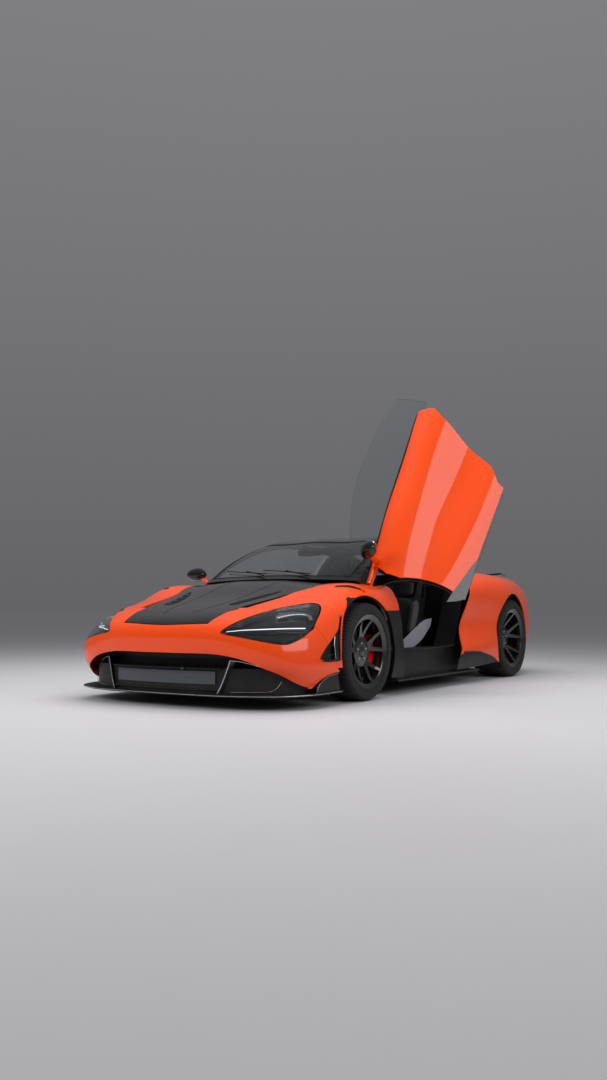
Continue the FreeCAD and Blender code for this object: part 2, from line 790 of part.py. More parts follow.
TAIL_T = 13.0
outline = [body.off(TAIL_T, k * 0.25, -SKIN - SHELL) for k in range(2, 55)]
flat = [V(REAR - 745.0, p.y, p.z) for p in outline]
tail_panel = Part.Face(Part.makePolygon(flat + flat[:1])).extrude(V(20, 0, 0))
feature("tail_panel", tail_panel)

DIFFUSER = [(-560, 94), (-700, 94), (-770, 330), (-700, 345), (-560, 130)]
diffuser = across_prism([(REAR + x, z) for x, z in DIFFUSER], -560, 560)
feature("diffuser", diffuser)

# Canopy: frame with window openings, and the panes in them

frame_whole = patch(canopy, (0.0, 6.0), (-0.1, 6.1), 0.0, -34.0)
WINDOWS = [
    ("windscreen", (0.12, 1.86), (1.13, 4.87)),
    ("rear_screen", (4.3, 5.85), (1.25, 4.75)),
]
panes = {}
frame_cuts = [patch(canopy, (0.62, 4.12), (-0.4, 0.94), 60.0, -90.0)]
frame_cuts.append(mirrored(frame_cuts[0]))
pillar_well = block(FRONT - 640, FRONT - 330, COWL_SIDE - 5, 1000, 600, 860)
for name, t_range, s_range in WINDOWS:
    frame_cuts.append(patch(canopy, t_range, s_range, 60.0, -90.0))
    inset = 0.003
    panes[name] = patch(canopy, (t_range[0] + inset, t_range[1] - inset),
                        (s_range[0] + inset, s_range[1] - inset), -3.0,
                        -3.0 - float(s.glass_thickness))
roof_frame = carve(frame_whole, frame_cuts + [pillar_well, mirrored(pillar_well)])
feature("roof_frame", roof_frame)
for name, pane in panes.items():
    feature(name, pane)

# Structure inside

FLOOR = float(s.floor_height)
SILL = float(s.sill_height)
CABIN_FRONT = float(s.cabin_front)
CABIN_REAR = float(s.cabin_rear)
tub_parts = [
    block(CABIN_REAR - 40, CABIN_FRONT + 45, -640, 640, FLOOR, FLOOR + 30),
    block(CABIN_FRONT, CABIN_FRONT + 45, -640, 640, FLOOR, 560),
    block(CABIN_FRONT, CABIN_FRONT + 45, -790, 790, 500, 735),
]
under_frame = under_surface(canopy, (-0.08, 5.0), (-0.12, 6.12), -34.0 - SHELL, 330.0)
tub_parts.append(block(CABIN_REAR - 40, CABIN_REAR, -640, 640, FLOOR, 800))
tub_parts.append(block(CABIN_REAR - 40, CABIN_REAR, -712, 712, 780, 905).common(under_frame))
for side in (1, -1):
    low_y, high_y = sorted((side * 560, side * 835))
    tub_parts.append(block(CABIN_REAR - 40, 740, low_y, high_y, FLOOR, SILL))
    low_y, high_y = sorted((side * 560, side * 700))
    tub_parts.append(block(700, CABIN_FRONT + 45, low_y, high_y, FLOOR, SILL))
    low_y, high_y = sorted((side * 765, side * 805))
    tub_parts.append(block(CABIN_FRONT + 20, FRONT - 325, low_y, high_y, 560, 722))
    low_y, high_y = sorted((side * 560, side * 665))
    tub_parts.append(block(CABIN_FRONT + 10, FRONT - 290, low_y, high_y, 700, 900).common(under_frame))
tub = fuse(tub_parts)
eye = rod(on_hinge(-26), on_hinge(6), 22)
bores = rod(on_hinge(-130), on_hinge(30), float(s.hinge_radius) + FIT)
tub = fuse([tub, eye, mirrored(eye)]).cut([bores, mirrored(bores)])
feature("monocell_tub", one_solid(tub))

UNDER = [(FRONT + 960, 300), (FRONT + 800, 700), (FRONT + 420, 700), (FRONT + 400, 500),
         (FRONT - 400, 500), (FRONT - 420, 640), (CABIN_REAR - 200, 640), (REAR + 420, 600),
         (REAR + 400, 520), (REAR - 400, 520), (REAR - 420, 560), (REAR - 560, 560)]
tray = [(x, y) for x, y in UNDER] + [(x, -y) for x, y in reversed(UNDER)]
TRAY = float(s.tray_thickness)
feature("undertray", down_prism(tray, FLOOR - TRAY, FLOOR))
SPLITTER = [(FRONT + 335, 930), (FRONT + 640, 930), (FRONT + 780, 885), (FRONT + 893, 800),
            (FRONT + 1000, 600), (FRONT + 1045, 400), (FRONT + 1060, 0)]
plan = [(FRONT + 335, 620)] + SPLITTER + [(x, -y) for x, y in reversed(SPLITTER[:-1])]
plan += [(FRONT + 335, -620)]
splitter = down_prism(plan, FLOOR - TRAY - 12, FLOOR - TRAY)
SPLITTER_FIN = [(338, 84), (625, 84), (606, 130), (550, 168), (470, 194), (366, 204)]
fin = across_prism([(FRONT + x, z) for x, z in SPLITTER_FIN], 903, 915)
feature("front_splitter", fuse([splitter, fin, mirrored(fin)]))
skirt = block(REAR + 700, FRONT - 480, 640 + FIT, 912, FLOOR - TRAY, FLOOR + 8)
skirt = skirt.cut(block(-3000, 3000, 500, 835 + FIT, FLOOR, 400))
feature("side_skirts", both_sides(skirt))

INTAKE = [(FRONT + 640, 840), (FRONT + 760, 790), (FRONT + 850, 700), (FRONT + 905, 600),
          (FRONT + 955, 450), (FRONT + 990, 250), (FRONT + 1000, 0)]
outer = INTAKE + [(x, -y) for x, y in reversed(INTAKE[:-1])]
inner = [(x - 12, y * 0.985) for x, y in outer]
intake = down_prism(outer + inner[::-1], FLOOR - TRAY, 250)
feature("intake_panel", one_solid(intake))

shell = patch(body, (3.05, 6.5), (0.5, 13.5), -SKIN - SHELL, -SKIN - SHELL - 8)
shell_cuts = [hood_cut, lamp_cut, mirrored(lamp_cut), vent_prism(6), mirrored(vent_prism(6))] + doors_cut
shell_cuts += [arches[0], arches[2], under_canopy, hinge_well, mirrored(hinge_well)]
shell_cuts += [block(-500, BELT_TIP, -1200, 1200, 0, 1400)]
shell_cuts += [block(FRONT - 166, FRONT - 60, side * 488 - 13, side * 488 + 13, 760, 850)
               for side in (1, -1)]
eye_room = block(FRONT - 400, FRONT - 315, 680, 820, 690, 900)
shell_cuts += [eye_room, mirrored(eye_room)]
shell = carve(shell, shell_cuts)
below = under_surface(body, (0.5, 6.6), (0.0, 14.0), -SKIN - SHELL - 4, 700.0)
rails = []
for side in (1, -1):
    low_y, high_y = sorted((side * 300, side * 350))
    rails.append(block(CABIN_FRONT + 45, FRONT + 640, low_y, high_y, 200, 262))
    low_y, high_y = sorted((side * 545, side * 590))
    post = block(FRONT + 405, FRONT + 440, low_y, high_y, 150, 800).common(below)
    low_y, high_y = sorted((side * 340, side * 560))
    rails += [post, block(FRONT + 405, FRONT + 440, low_y, high_y, 200, 262)]
    low_y, high_y = sorted((side * 500, side * 520))
    rails.append(block(LID_HINGE.x - 14, LID_HINGE.x + 14, low_y, high_y, 640, LID_HINGE.z + 10))
    low_y, high_y = sorted((side * 340, side * 520))
    rails.append(block(LID_HINGE.x - 14, LID_HINGE.x + 14, low_y, high_y, 640, 670))
    low_y, high_y = sorted((side * 300, side * 350))
    rails.append(block(CABIN_FRONT + 45, FRONT - 100, low_y, high_y, 640, 670))
    rails.append(block(FRONT - 195, FRONT - 145, low_y, high_y, 200, 670))
rails.append(block(FRONT + 600, FRONT + 640, -340, 340, 200, 262))
lid_bore = Part.makeCylinder(8 + FIT, 1300, V(LID_HINGE.x, -650, LID_HINGE.z), V(0, 1, 0))
front_frame = fuse([shell] + rails).cut(lid_bore)
feature("front_frame", one_solid(front_frame))

rear_shell = patch(body, (8.5, 12.9), (0.5, 13.5), -SKIN - SHELL, -SKIN - SHELL - 8)
rear_cuts = doors_cut + [arches[1], arches[3], under_canopy]
rear_cuts += [block(REAR + 700, FRONT, -1200, 1200, 0, 1400)]
rear_shell = carve(rear_shell, rear_cuts)
rear_rails = []
below_rear = under_surface(body, (9.6, 13.0), (0.0, 14.0), -SKIN - SHELL - 4, 900.0)
for side in (1, -1):
    low_y, high_y = sorted((side * 300, side * 350))
    rear_rails.append(block(REAR - 615, CABIN_REAR - 40, low_y, high_y, 230, 300))
    low_y, high_y = sorted((side * 500, side * 540))
    rear_rails.append(block(REAR - 480, REAR - 440, low_y, high_y, 230, 1000).common(below_rear))
    low_y, high_y = sorted((side * 340, side * 520))
    rear_rails.append(block(REAR - 480, REAR - 440, low_y, high_y, 230, 300))
rear_frame = fuse([rear_shell] + rear_rails)
feature("rear_frame", one_solid(rear_frame))

trunk = block(FRONT - 60, FRONT + 560, -290, 290, 262 + FIT, 900)
trunk = trunk.cut(block(FRONT - 56, FRONT + 556, -286, 286, 266 + FIT, 901))
trunk = trunk.fuse(block(FRONT - 60, FRONT + 560, -330, 330, 262 + FIT, 266 + FIT))
trunk = trunk.common(under_surface(body, (1.9, 6.4), (4.2, 9.8), -60.0, 700.0))
feature("luggage_tub", one_solid(trunk))

engine = block(REAR + 120, CABIN_REAR - 80, -300, 300, 160, 620)
gearbox = block(REAR - 260, REAR + 120, -170, 170, 190, 520)
feature("engine_block", fuse([engine, gearbox]))

# Lamps and louvres in the front panels

lamp = patch(body, (0.8, 4.3), (1.8, 5.2), -4.0, -64.0)
lamp = lamp.common(lamp_prism(-SEAM))
lamp = lamp.cut(block(FRONT, FRONT + 435, 700, 1000, 0, 590))
lamp = one_solid(lamp.cut(block(FRONT - 100, FRONT + 405, 600, 1000, 0, 1400)))
feature("headlamp_left", lamp)
feature("headlamp_right", mirrored(lamp))

vent = patch(body, (1.2, 4.6), (0.4, 3.6), -2.0, -28.0).common(vent_prism(-SEAM))
hollow = patch(body, (1.0, 4.8), (0.2, 3.8), 10.0, -20.0).common(vent_prism(-14.0))
vent = one_solid(vent.cut(hollow))
slat_skin = patch(body, (1.0, 4.8), (0.2, 3.8), -4.0, -24.0).common(vent_prism(-4.0))
slats = []
for z in (345, 400, 455, 510, 560):
    blade_line = [(FRONT + 230, z), (FRONT + 600, z - 30), (FRONT + 600, z - 22), (FRONT + 230, z + 8)]
    slats.append(slat_skin.common(across_prism(blade_line, 600, 1200)))
vent = fuse([vent] + slats)
feature("fender_vents", both_sides(vent))

# Suspension arms and shafts

front_arms = []
rear_arms = []
for name, axle, across, side, tyre_radius, tyre_width, rim, disc in WHEELS:
    if side < 0:
        continue
    pin_y = float(across) - float(s.kingpin_inset)
    mid_z = float(tyre_radius)
    reach = float(s.kingpin_reach)
    inner = block(float(axle) - 300, float(axle) + 300, 0, 350, 0, 900)
    for low_z, feet_z, spread in ((mid_z - reach, 232.0, 150), (mid_z + reach - 20, 480.0, 110)):
        eye_ring = Part.makeCylinder(24, 20, V(float(axle), pin_y, low_z), V(0, 0, 1))
        middle = V(float(axle), pin_y - 18, low_z + 10)
        legs = [rod(middle, V(float(axle) + way * spread, 320, feet_z), 9) for way in (1, -1)]
        bore = Part.makeCylinder(float(s.kingpin_radius) + FIT, 200, V(float(axle), pin_y, low_z - 90),
                                 V(0, 0, 1))
        clear_post = block(float(axle) - 40, float(axle) + 40, pin_y - 30, pin_y + 60,
                           mid_z - reach + 21, mid_z + reach - 21)
        wishbone = fuse([eye_ring] + legs).cut([bore, inner, clear_post])
        (front_arms if name.startswith("front") else rear_arms).append(one_solid(wishbone))
shaft = rod(V(REAR, 170, float(s.rear_tyre_radius)), V(REAR, 668, float(s.rear_tyre_radius)), 16)
wishbones = front_arms + rear_arms
feature("suspension_arms", Part.makeCompound(wishbones + [mirrored(a) for a in wishbones]))
feature("drive_shafts", both_sides(shaft))

# Cabin

SEAT = [(210, 130), (235, 245), (200, 320), (90, 300), (-110, 262), (-190, 300), (-330, 720),
        (-350, 860), (-420, 870), (-455, 760), (-330, 300), (-270, 130)]
BOLSTER = [(150, 200), (190, 340), (80, 345), (-90, 330), (-150, 400), (-270, 690), (-330, 700),
           (-280, 450), (-220, 280)]
SEAT_Y = 330.0
seats = []
for side in (1, -1):
    shell = across_prism(SEAT, side * SEAT_Y - 190, side * SEAT_Y + 190)
    edges = [across_prism(BOLSTER, side * SEAT_Y + way * 190 - 36, side * SEAT_Y + way * 190 + 36)
             for way in (1, -1)]
    seats.append(fuse([shell] + edges))
feature("seats", Part.makeCompound(seats))

DASH = [(880, 480), (880, 745), (700, 765), (540, 740), (440, 690), (450, 620), (560, 570), (640, 480)]
dash = across_prism(DASH, -690, 690)
tunnel = across_prism([(880, 130), (880, 520), (640, 520), (380, 400), (-400, 360), (-560, 360),
                       (-560, 130)], -85, 85)
WHEEL_CENTRE = V(360, SEAT_Y, 650)
WHEEL_AXIS = V(-math.cos(math.radians(22)), 0, math.sin(math.radians(22)))
column = rod(WHEEL_CENTRE - WHEEL_AXIS * (20 + FIT), WHEEL_CENTRE - WHEEL_AXIS * 140, 24)
feature("dashboard", fuse([dash, tunnel, column]))

ring = Part.makeTorus(float(s.steering_wheel_radius) - 15, 15, WHEEL_CENTRE, WHEEL_AXIS)
hub = Part.makeCylinder(46, 40, WHEEL_CENTRE - WHEEL_AXIS * 20, WHEEL_AXIS)
spokes = []
for degrees in (0, 180, 270):
    angle = math.radians(degrees)
    up = V(0, 1, 0).cross(WHEEL_AXIS)
    out = V(0, 1, 0) * math.cos(angle) + up * (math.sin(angle) * (-1 if up.z > 0 else 1))
    spokes.append(rod(WHEEL_CENTRE, WHEEL_CENTRE + out * 160, 10))
feature("steering_wheel", fuse([ring, hub] + spokes))

# Wing, lamps and pipes at the tail

deck_top = under_surface(body, (11.4, 13.0), (4.2, 9.8), FIT, 200.0)
wing = patch(body, (12.2, 12.95), (4.5, 9.5), 62.0, 46.0)
pylons = [block(REAR - 660, REAR - 560, way * 380 - 12, way * 380 + 12, 850, 960) for way in (1, -1)]
under_wing = under_surface(body, (12.2, 12.95), (4.5, 9.5), 54.0, 90.0)
pylons = [pylon.common(under_wing).cut(deck_top) for pylon in pylons]
feature("rear_wing", one_solid(fuse([wing] + pylons)))

TAIL_X = REAR - 745.0
strips = []
for side in (1, -1):
    for low_z in (790, 690):
        low_y, high_y = sorted((side * 470, side * 765))
        strips.append(block(TAIL_X - 8, TAIL_X, low_y, high_y, low_z, low_z + 10))
feature("tail_lamps", Part.makeCompound(strips))
pipes = []
for y in (-150, -60, 60, 150):
    pipe = Part.makeCylinder(38, 40, V(TAIL_X - 40, y, 620), V(1, 0, 0))
    pipes.append(pipe.cut(Part.makeCylinder(33, 34, V(TAIL_X - 40, y, 620), V(1, 0, 0))))
feature("exhaust_pipes", Part.makeCompound(pipes))

doc.recompute()
failed = [piece.Name for piece in doc.Objects if "Invalid" in piece.State or "Error" in piece.State]
for piece in made:
    if piece.Shape.isNull() or not piece.Shape.isValid():
        failed.append(piece.Label)
if failed:
    raise SystemExit("failed: %s" % failed)
os.makedirs("parts", exist_ok=True)
for piece in made:
    piece.Shape.exportStep("parts/%s.step" % piece.Label)
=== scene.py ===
"""Supercar with upward swinging doors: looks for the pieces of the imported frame."""

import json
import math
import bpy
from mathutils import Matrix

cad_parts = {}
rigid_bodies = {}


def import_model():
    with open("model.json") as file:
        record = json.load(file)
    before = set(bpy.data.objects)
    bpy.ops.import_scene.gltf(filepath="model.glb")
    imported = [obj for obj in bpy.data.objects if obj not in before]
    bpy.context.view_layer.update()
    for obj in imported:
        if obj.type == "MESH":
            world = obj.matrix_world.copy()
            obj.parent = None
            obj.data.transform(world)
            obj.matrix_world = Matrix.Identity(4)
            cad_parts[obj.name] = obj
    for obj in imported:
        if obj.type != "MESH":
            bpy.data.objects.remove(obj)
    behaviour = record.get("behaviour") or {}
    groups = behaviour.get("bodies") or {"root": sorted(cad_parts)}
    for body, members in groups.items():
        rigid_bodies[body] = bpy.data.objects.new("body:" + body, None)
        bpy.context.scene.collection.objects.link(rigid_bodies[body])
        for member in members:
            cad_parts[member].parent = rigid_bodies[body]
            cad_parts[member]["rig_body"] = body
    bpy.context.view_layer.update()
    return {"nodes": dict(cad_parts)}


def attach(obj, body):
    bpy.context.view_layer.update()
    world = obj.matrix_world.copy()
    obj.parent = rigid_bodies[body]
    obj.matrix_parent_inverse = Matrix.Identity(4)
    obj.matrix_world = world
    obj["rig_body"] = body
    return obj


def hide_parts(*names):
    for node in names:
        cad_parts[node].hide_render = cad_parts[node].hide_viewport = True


bl_info = {
    "name": "Supercar looks",
    "version": (1, 0, 0),
    "blender": (4, 5, 0),
    "location": "View3D > Sidebar > Supercar",
    "description": "Builds the visible pieces of an orange and black supercar on its packed frame",
    "category": "Object",
}

import bmesh
import bpy
import numpy as np
from mathutils import Matrix, Vector, kdtree

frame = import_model()
nodes = frame["nodes"]

# The front axle's place in mm, and in metres both axles, half the body's width and the roof's height
AXLE = 1335
FRONT = AXLE / 1000
REAR = -FRONT
HALF = 0.965
ROOF = 1.195
SIDES = ((1, "left"), (-1, "right"))

# Body surface

BODY_LINES = [
    (FRONT, [(645, 75, 125), (750, 115, 160), (850, 175, 218), (915, 255, 258), (965, 365, 304)],
     [(1000, 336), (1028, 340), (1035, 340)]),
    (FRONT, [(560, 35, 188), (700, 60, 220), (825, 105, 270), (905, 185, 318), (962, 305, 364)],
     [(1010, 398), (1040, 410), (1046, 412)]),
    (FRONT, [(470, 20, 210), (600, 30, 270), (720, 65, 345), (825, 135, 425), (905, 285, 490)],
     [(965, 517), (1000, 522), (1006, 522)]),
    (FRONT, [(400, 15, 214), (470, 17, 304), (530, 40, 420), (590, 105, 525), (650, 245, 600)],
     [(700, 622), (740, 618), (750, 615)]),
    (FRONT, [(265, 13, 190), (265, 13, 330), (265, 20, 470), (270, 60, 595), (290, 175, 680)],
     [(330, 700), (370, 702), (380, 700)]),
    (FRONT, [(0, 15, 160), (0, 8, 320), (0, 7, 490), (0, 30, 660), (0, 165, 777)],
     [(0, 782), (0, 800), (0, 806)]),
    (FRONT, [(-405, 30, 130), (-405, 25, 300), (-405, 35, 470), (-405, 50, 650), (-405, 175, 770)],
     [(-405, 800), (-405, 825), (-405, 835)]),
    (FRONT, [(-900, 40, 125), (-900, 30, 285), (-900, 80, 470), (-900, 65, 690), (-900, 205, 835)],
     [(-900, 850), (-900, 860), (-900, 865)]),
    (REAR, [(1335, 40, 125), (1335, 30, 285), (1335, 110, 480), (1335, 70, 715), (1335, 230, 865)],
     [(1335, 880), (1335, 890), (1335, 890)]),
    (REAR, [(835, 35, 130), (835, 20, 300), (835, 70, 500), (835, 40, 765), (835, 220, 905)],
     [(835, 920), (835, 930), (835, 930)]),
    (REAR, [(385, 15, 150), (385, 5, 330), (385, 20, 520), (385, 10, 770), (385, 165, 915)],
     [(385, 920), (385, 930), (385, 930)]),
    (REAR, [(0, 10, 170), (0, 0, 330), (0, 0, 520), (0, 10, 755), (0, 135, 895)],
     [(0, 905), (0, 915), (0, 918)]),
    (REAR, [(-415, 45, 270), (-415, 38, 400), (-415, 42, 545), (-415, 72, 735), (-415, 190, 880)],
     [(-415, 885), (-415, 890), (-415, 895)]),
    (REAR, [(-745, 140, 350), (-745, 125, 465), (-745, 130, 585), (-745, 155, 730), (-745, 265, 860)],
     [(-745, 870), (-745, 880), (-745, 885)]),
]
CANOPY_LINES = [
    (FRONT, [(-315, 690, 405), (-275, 655, 382), (-185, 350, 370), (-155, 0, 365)]),
    (FRONT, [(-635, 735, 395), (-565, 650, 222), (-515, 330, 198), (-495, 0, 188)]),
    (FRONT, [(-1005, 740, 355), (-975, 585, 74), (-915, 300, 42), (-895, 0, 34)]),
    (REAR, [(1235, 725, 325), (1235, 565, 30), (1235, 290, -9), (1235, 0, -17)]),
    (REAR, [(735, 730, 285), (735, 545, 70), (735, 280, 28), (735, 0, 18)]),
    (REAR, [(235, 720, 275), (235, 480, 172), (235, 260, 126), (235, 0, 116)]),
    (REAR, [(-245, 620, 290), (-245, 420, 265), (-245, 240, 240), (-245, 0, 235)]),
]


def body_points():
    rows = []
    for axle, outer, inner in BODY_LINES:
        left = [(axle + ahead / 1000, HALF - inset / 1000, z / 1000) for ahead, inset, z in outer]
        crest = left[-1][1]
        left += [(axle + ahead / 1000, crest * share, z / 1000)
                 for (ahead, z), share in zip(inner, (0.70, 0.35, 0.0))]
        rows.append(left + [(x, -y, z) for x, y, z in reversed(left[:-1])])
    return np.array(rows)


def canopy_points():
    rows = []
    for axle, points in CANOPY_LINES:
        left = [(axle + ahead / 1000, y / 1000, ROOF - drop / 1000) for ahead, y, drop in points]
        rows.append(left + [(x, -y, z) for x, y, z in reversed(left[:-1])])
    return np.array(rows)


def spline_bends(count):
    """Matrix that turns values into the second derivatives of their natural cubic spline."""
    lhs = np.eye(count)
    rhs = np.zeros((count, count))
    for i in range(1, count - 1):
        lhs[i, i - 1:i + 2] = (1.0, 4.0, 1.0)
        rhs[i, i - 1:i + 2] = (6.0, -12.0, 6.0)
    return np.linalg.solve(lhs, rhs)


class Skin:
    """The smooth surface that the panels were cut from."""

    def __init__(self, points):
        self.points = points
        self.bends = [spline_bends(n) for n in points.shape[:2]]

    def shares(self, u, axis, slope=False):
        count = self.points.shape[axis]
        bends = self.bends[axis]
        i = np.clip(u.astype(int), 0, count - 2)
        b = u - i
        a = 1 - b
        eye = np.eye(count)
        if slope:
            return (eye[i + 1] - eye[i]
                    + (-(3 * a**2 - 1)[:, None] * bends[i] + (3 * b**2 - 1)[:, None] * bends[i + 1]) / 6)
        return (a[:, None] * eye[i] + b[:, None] * eye[i + 1]
                + ((a**3 - a)[:, None] * bends[i] + (b**3 - b)[:, None] * bends[i + 1]) / 6)

    def at(self, t, s):
        t, s = np.atleast_1d(np.float64(t)), np.atleast_1d(np.float64(s))
        t, s = np.broadcast_arrays(t, s)
        wt, ws = self.shares(t, 0), self.shares(s, 1)
        dt, ds = self.shares(t, 0, True), self.shares(s, 1, True)
        mix = lambda a, b: np.einsum("nj,nk,jkc->nc", a, b, self.points)
        along, across = mix(dt, ws), mix(wt, ds)
        normal = np.cross(along, across)
        normal /= np.linalg.norm(normal, axis=1)[:, None]
        return mix(wt, ws), along, across, normal

    def off(self, t, s, distance=0.0):
        point, _, _, normal = self.at(t, s)
        return point + normal * np.reshape(distance, (-1, 1))

    def nearest(self, spots):
        """Normals and distances of points that lie near the surface."""
        if not hasattr(self, "tree"):
            rows, columns = self.points.shape[:2]
            t, s = np.meshgrid(np.arange(0, rows - 1 + 0.01, 0.1), np.arange(0, columns - 1 + 0.01, 0.1))
            self.grid = (t.ravel(), s.ravel())
            cloud = self.at(*self.grid)[0]
            self.tree = kdtree.KDTree(len(cloud))
            for i, point in enumerate(cloud):
                self.tree.insert(point, i)
            self.tree.balance()
        found = [self.tree.find(spot)[1] for spot in spots]
        t, s = self.grid[0][found], self.grid[1][found]
        for _ in range(4):
            point, along, across, normal = self.at(t, s)
            gap = spots - point
            aa, bb = (along**2).sum(1), (across**2).sum(1)
            ab = (along * across).sum(1)
            ga, gb = (gap * along).sum(1), (gap * across).sum(1)
            det = aa * bb - ab**2
            t = np.clip(t + (ga * bb - gb * ab) / det, -0.2, self.points.shape[0] - 0.8)
            s = np.clip(s + (gb * aa - ga * ab) / det, -0.2, self.points.shape[1] - 0.8)
        point, _, _, normal = self.at(t, s)
        return normal, ((spots - point) * normal).sum(1)

    def aimed(self, targets, axes, t_range=None, s_range=None):
        """Places (t, s) on the left half where two of the three coordinates have given values."""
        rows, columns = self.points.shape[:2]
        t_range = t_range or (0, rows - 1)
        s_range = s_range or (0, (columns - 1) / 2)
        targets = np.atleast_2d(np.float64(targets))
        axes = list(axes)
        t, s = np.meshgrid(np.arange(t_range[0], t_range[1] + 0.01, 0.1),
                           np.arange(s_range[0], s_range[1] + 0.01, 0.1))
        t, s = t.ravel(), s.ravel()
        cloud = self.at(t, s)[0][:, axes]
        first = [((cloud - target) ** 2).sum(1).argmin() for target in targets]
        t, s = t[first].copy(), s[first].copy()
        for _ in range(14):
            point, along, across, _ = self.at(t, s)
            gap = targets - point[:, axes]
            a, b = along[:, axes], across[:, axes]
            det = a[:, 0] * b[:, 1] - a[:, 1] * b[:, 0]
            det = np.where(np.abs(det) < 1e-7, 1e-7, det)
            dt = (gap[:, 0] * b[:, 1] - gap[:, 1] * b[:, 0]) / det
            ds = (a[:, 0] * gap[:, 1] - a[:, 1] * gap[:, 0]) / det
            t = np.clip(t + np.clip(dt, -0.3, 0.3), t_range[0] - 0.2, t_range[1] + 0.2)
            s = np.clip(s + np.clip(ds, -0.3, 0.3), s_range[0] - 0.2, s_range[1] + 0.2)
        return t, s


body_skin = Skin(body_points())
canopy_skin = Skin(canopy_points())


# Shader groups

FLOAT, VECTOR = "NodeSocketFloat", "NodeSocketVector"
MASK, NORMAL = ("Mask", FLOAT), ("Normal", VECTOR)


def new_group(name, inputs, outputs):
    """A shader group with (name, default) inputs and (name, kind) outputs, and its coordinates."""
    group = bpy.data.node_groups.new(name, "ShaderNodeTree")
    for label, default in inputs:
        group.interface.new_socket(label, in_out="INPUT", socket_type=FLOAT).default_value = default
    for label, kind in outputs:
        group.interface.new_socket(label, in_out="OUTPUT", socket_type=kind)
    given, result = group.nodes.new("NodeGroupInput"), group.nodes.new("NodeGroupOutput")
    place = add_node(group, "ShaderNodeTexCoord").outputs["Object"]
    return group, given.outputs, result.inputs, place


def wire(tree, source, target):
    tree.links.new(source, target)


def add_node(tree, kind, links=(), **settings):
    """A node of the tree with its settings, and its inputs linked or set."""
    node = tree.nodes.new(kind)
    for key, value in settings.items():
        setattr(node, key, value)
    for socket, value in dict(links).items():
        if isinstance(value, bpy.types.NodeSocket):
            tree.links.new(value, node.inputs[socket])
        else:
            node.inputs[socket].default_value = value
    return node


def maths(tree, operation, a, b=None, c=None, clamp=False):
    links = {i: value for i, value in enumerate((a, b, c)) if value is not None}
    return add_node(tree, "ShaderNodeMath", links, operation=operation, use_clamp=clamp).outputs[0]


def noise(tree, place, scale, detail, rough=0.5):
    return add_node(tree, "ShaderNodeTexNoise", {
        "Vector": place, "Scale": scale, "Detail": detail, "Roughness": rough}).outputs["Fac"]


def bump(tree, height, depth, strength=1.0, **settings):
    return add_node(tree, "ShaderNodeBump", {
        "Height": height, "Distance": depth, "Strength": strength}, **settings).outputs["Normal"]


def split(tree, place):
    return add_node(tree, "ShaderNodeSeparateXYZ", {0: place}).outputs


def grain_group():
    """Fine moulded or cast grain."""
    group, given, result, place = new_group(
        "Surface Grain", [("Scale", 400.0), ("Depth", 0.0002), ("Contrast", 0.3)], [MASK, NORMAL])
    broad = maths(group, "SUBTRACT", noise(group, place, 6.0, 4.0, 0.55), 0.5)
    fine = noise(group, place, given["Scale"], 3.0, 0.6)
    wire(group, maths(group, "MULTIPLY_ADD", broad, given["Contrast"], 0.5, clamp=True), result["Mask"])
    wire(group, bump(group, fine, given["Depth"]), result["Normal"])


def flake_group():
    """Metal flakes under a clear coat, and the slight ripple of sprayed paint."""
    group, given, result, place = new_group(
        "Paint Flakes", [("Scale", 1800.0), ("Ripple", 0.00008)], [MASK, NORMAL])
    cells = add_node(group, "ShaderNodeTexVoronoi", {"Vector": place, "Scale": given["Scale"]})
    value = add_node(group, "ShaderNodeSeparateColor", {"Color": cells.outputs["Color"]})
    wire(group, value.outputs[0], result["Mask"])
    wire(group, bump(group, noise(group, place, 160.0, 1.0), given["Ripple"], 0.6), result["Normal"])


def dust_group():
    """Dust that gathers low on the car, broken up by noise."""
    group, given, result, place = new_group("Road Dust", [("Height", 0.3), ("Amount", 0.3)], [MASK])
    rise = maths(group, "DIVIDE", split(group, place)["Z"], given["Height"])
    low = maths(group, "SUBTRACT", 1.0, rise, clamp=True)
    patchy = maths(group, "MULTIPLY", low, noise(group, place, 14.0, 6.0, 0.65))
    wire(group, maths(group, "MULTIPLY", patchy, given["Amount"], clamp=True), result["Mask"])


def weave_group():
    """Two by two twill of a carbon cloth, laid over the top or the side."""
    group, given, result, place = new_group(
        "Twill Weave", [("Tow", 0.0025), ("Depth", 0.0001)], [MASK, NORMAL])
    parts = split(group, place)
    u = maths(group, "DIVIDE", maths(group, "ADD", parts["X"], parts["Z"]), given["Tow"])
    v = maths(group, "DIVIDE", maths(group, "SUBTRACT", parts["Y"], parts["Z"]), given["Tow"])
    step = maths(group, "ADD", maths(group, "FLOOR", u), maths(group, "FLOOR", v))
    over = maths(group, "GREATER_THAN", maths(group, "FLOORED_MODULO", step, 4.0), 1.5)
    ridge = add_node(group, "ShaderNodeMix", {
        0: over, 2: maths(group, "PINGPONG", u, 0.5), 3: maths(group, "PINGPONG", v, 0.5)})
    wire(group, over, result["Mask"])
    wire(group, bump(group, ridge.outputs[0], given["Depth"]), result["Normal"])


def leather_group():
    """Pebbled hide."""
    group, given, result, place = new_group(
        "Hide Grain", [("Scale", 700.0), ("Depth", 0.0003)], [MASK, NORMAL])
    cells = add_node(group, "ShaderNodeTexVoronoi", {"Vector": place, "Scale": given["Scale"]},
                     feature="SMOOTH_F1")
    wire(group, noise(group, place, 9.0, 5.0), result["Mask"])
    wire(group, bump(group, cells.outputs["Distance"], given["Depth"], 0.8, invert=True), result["Normal"])


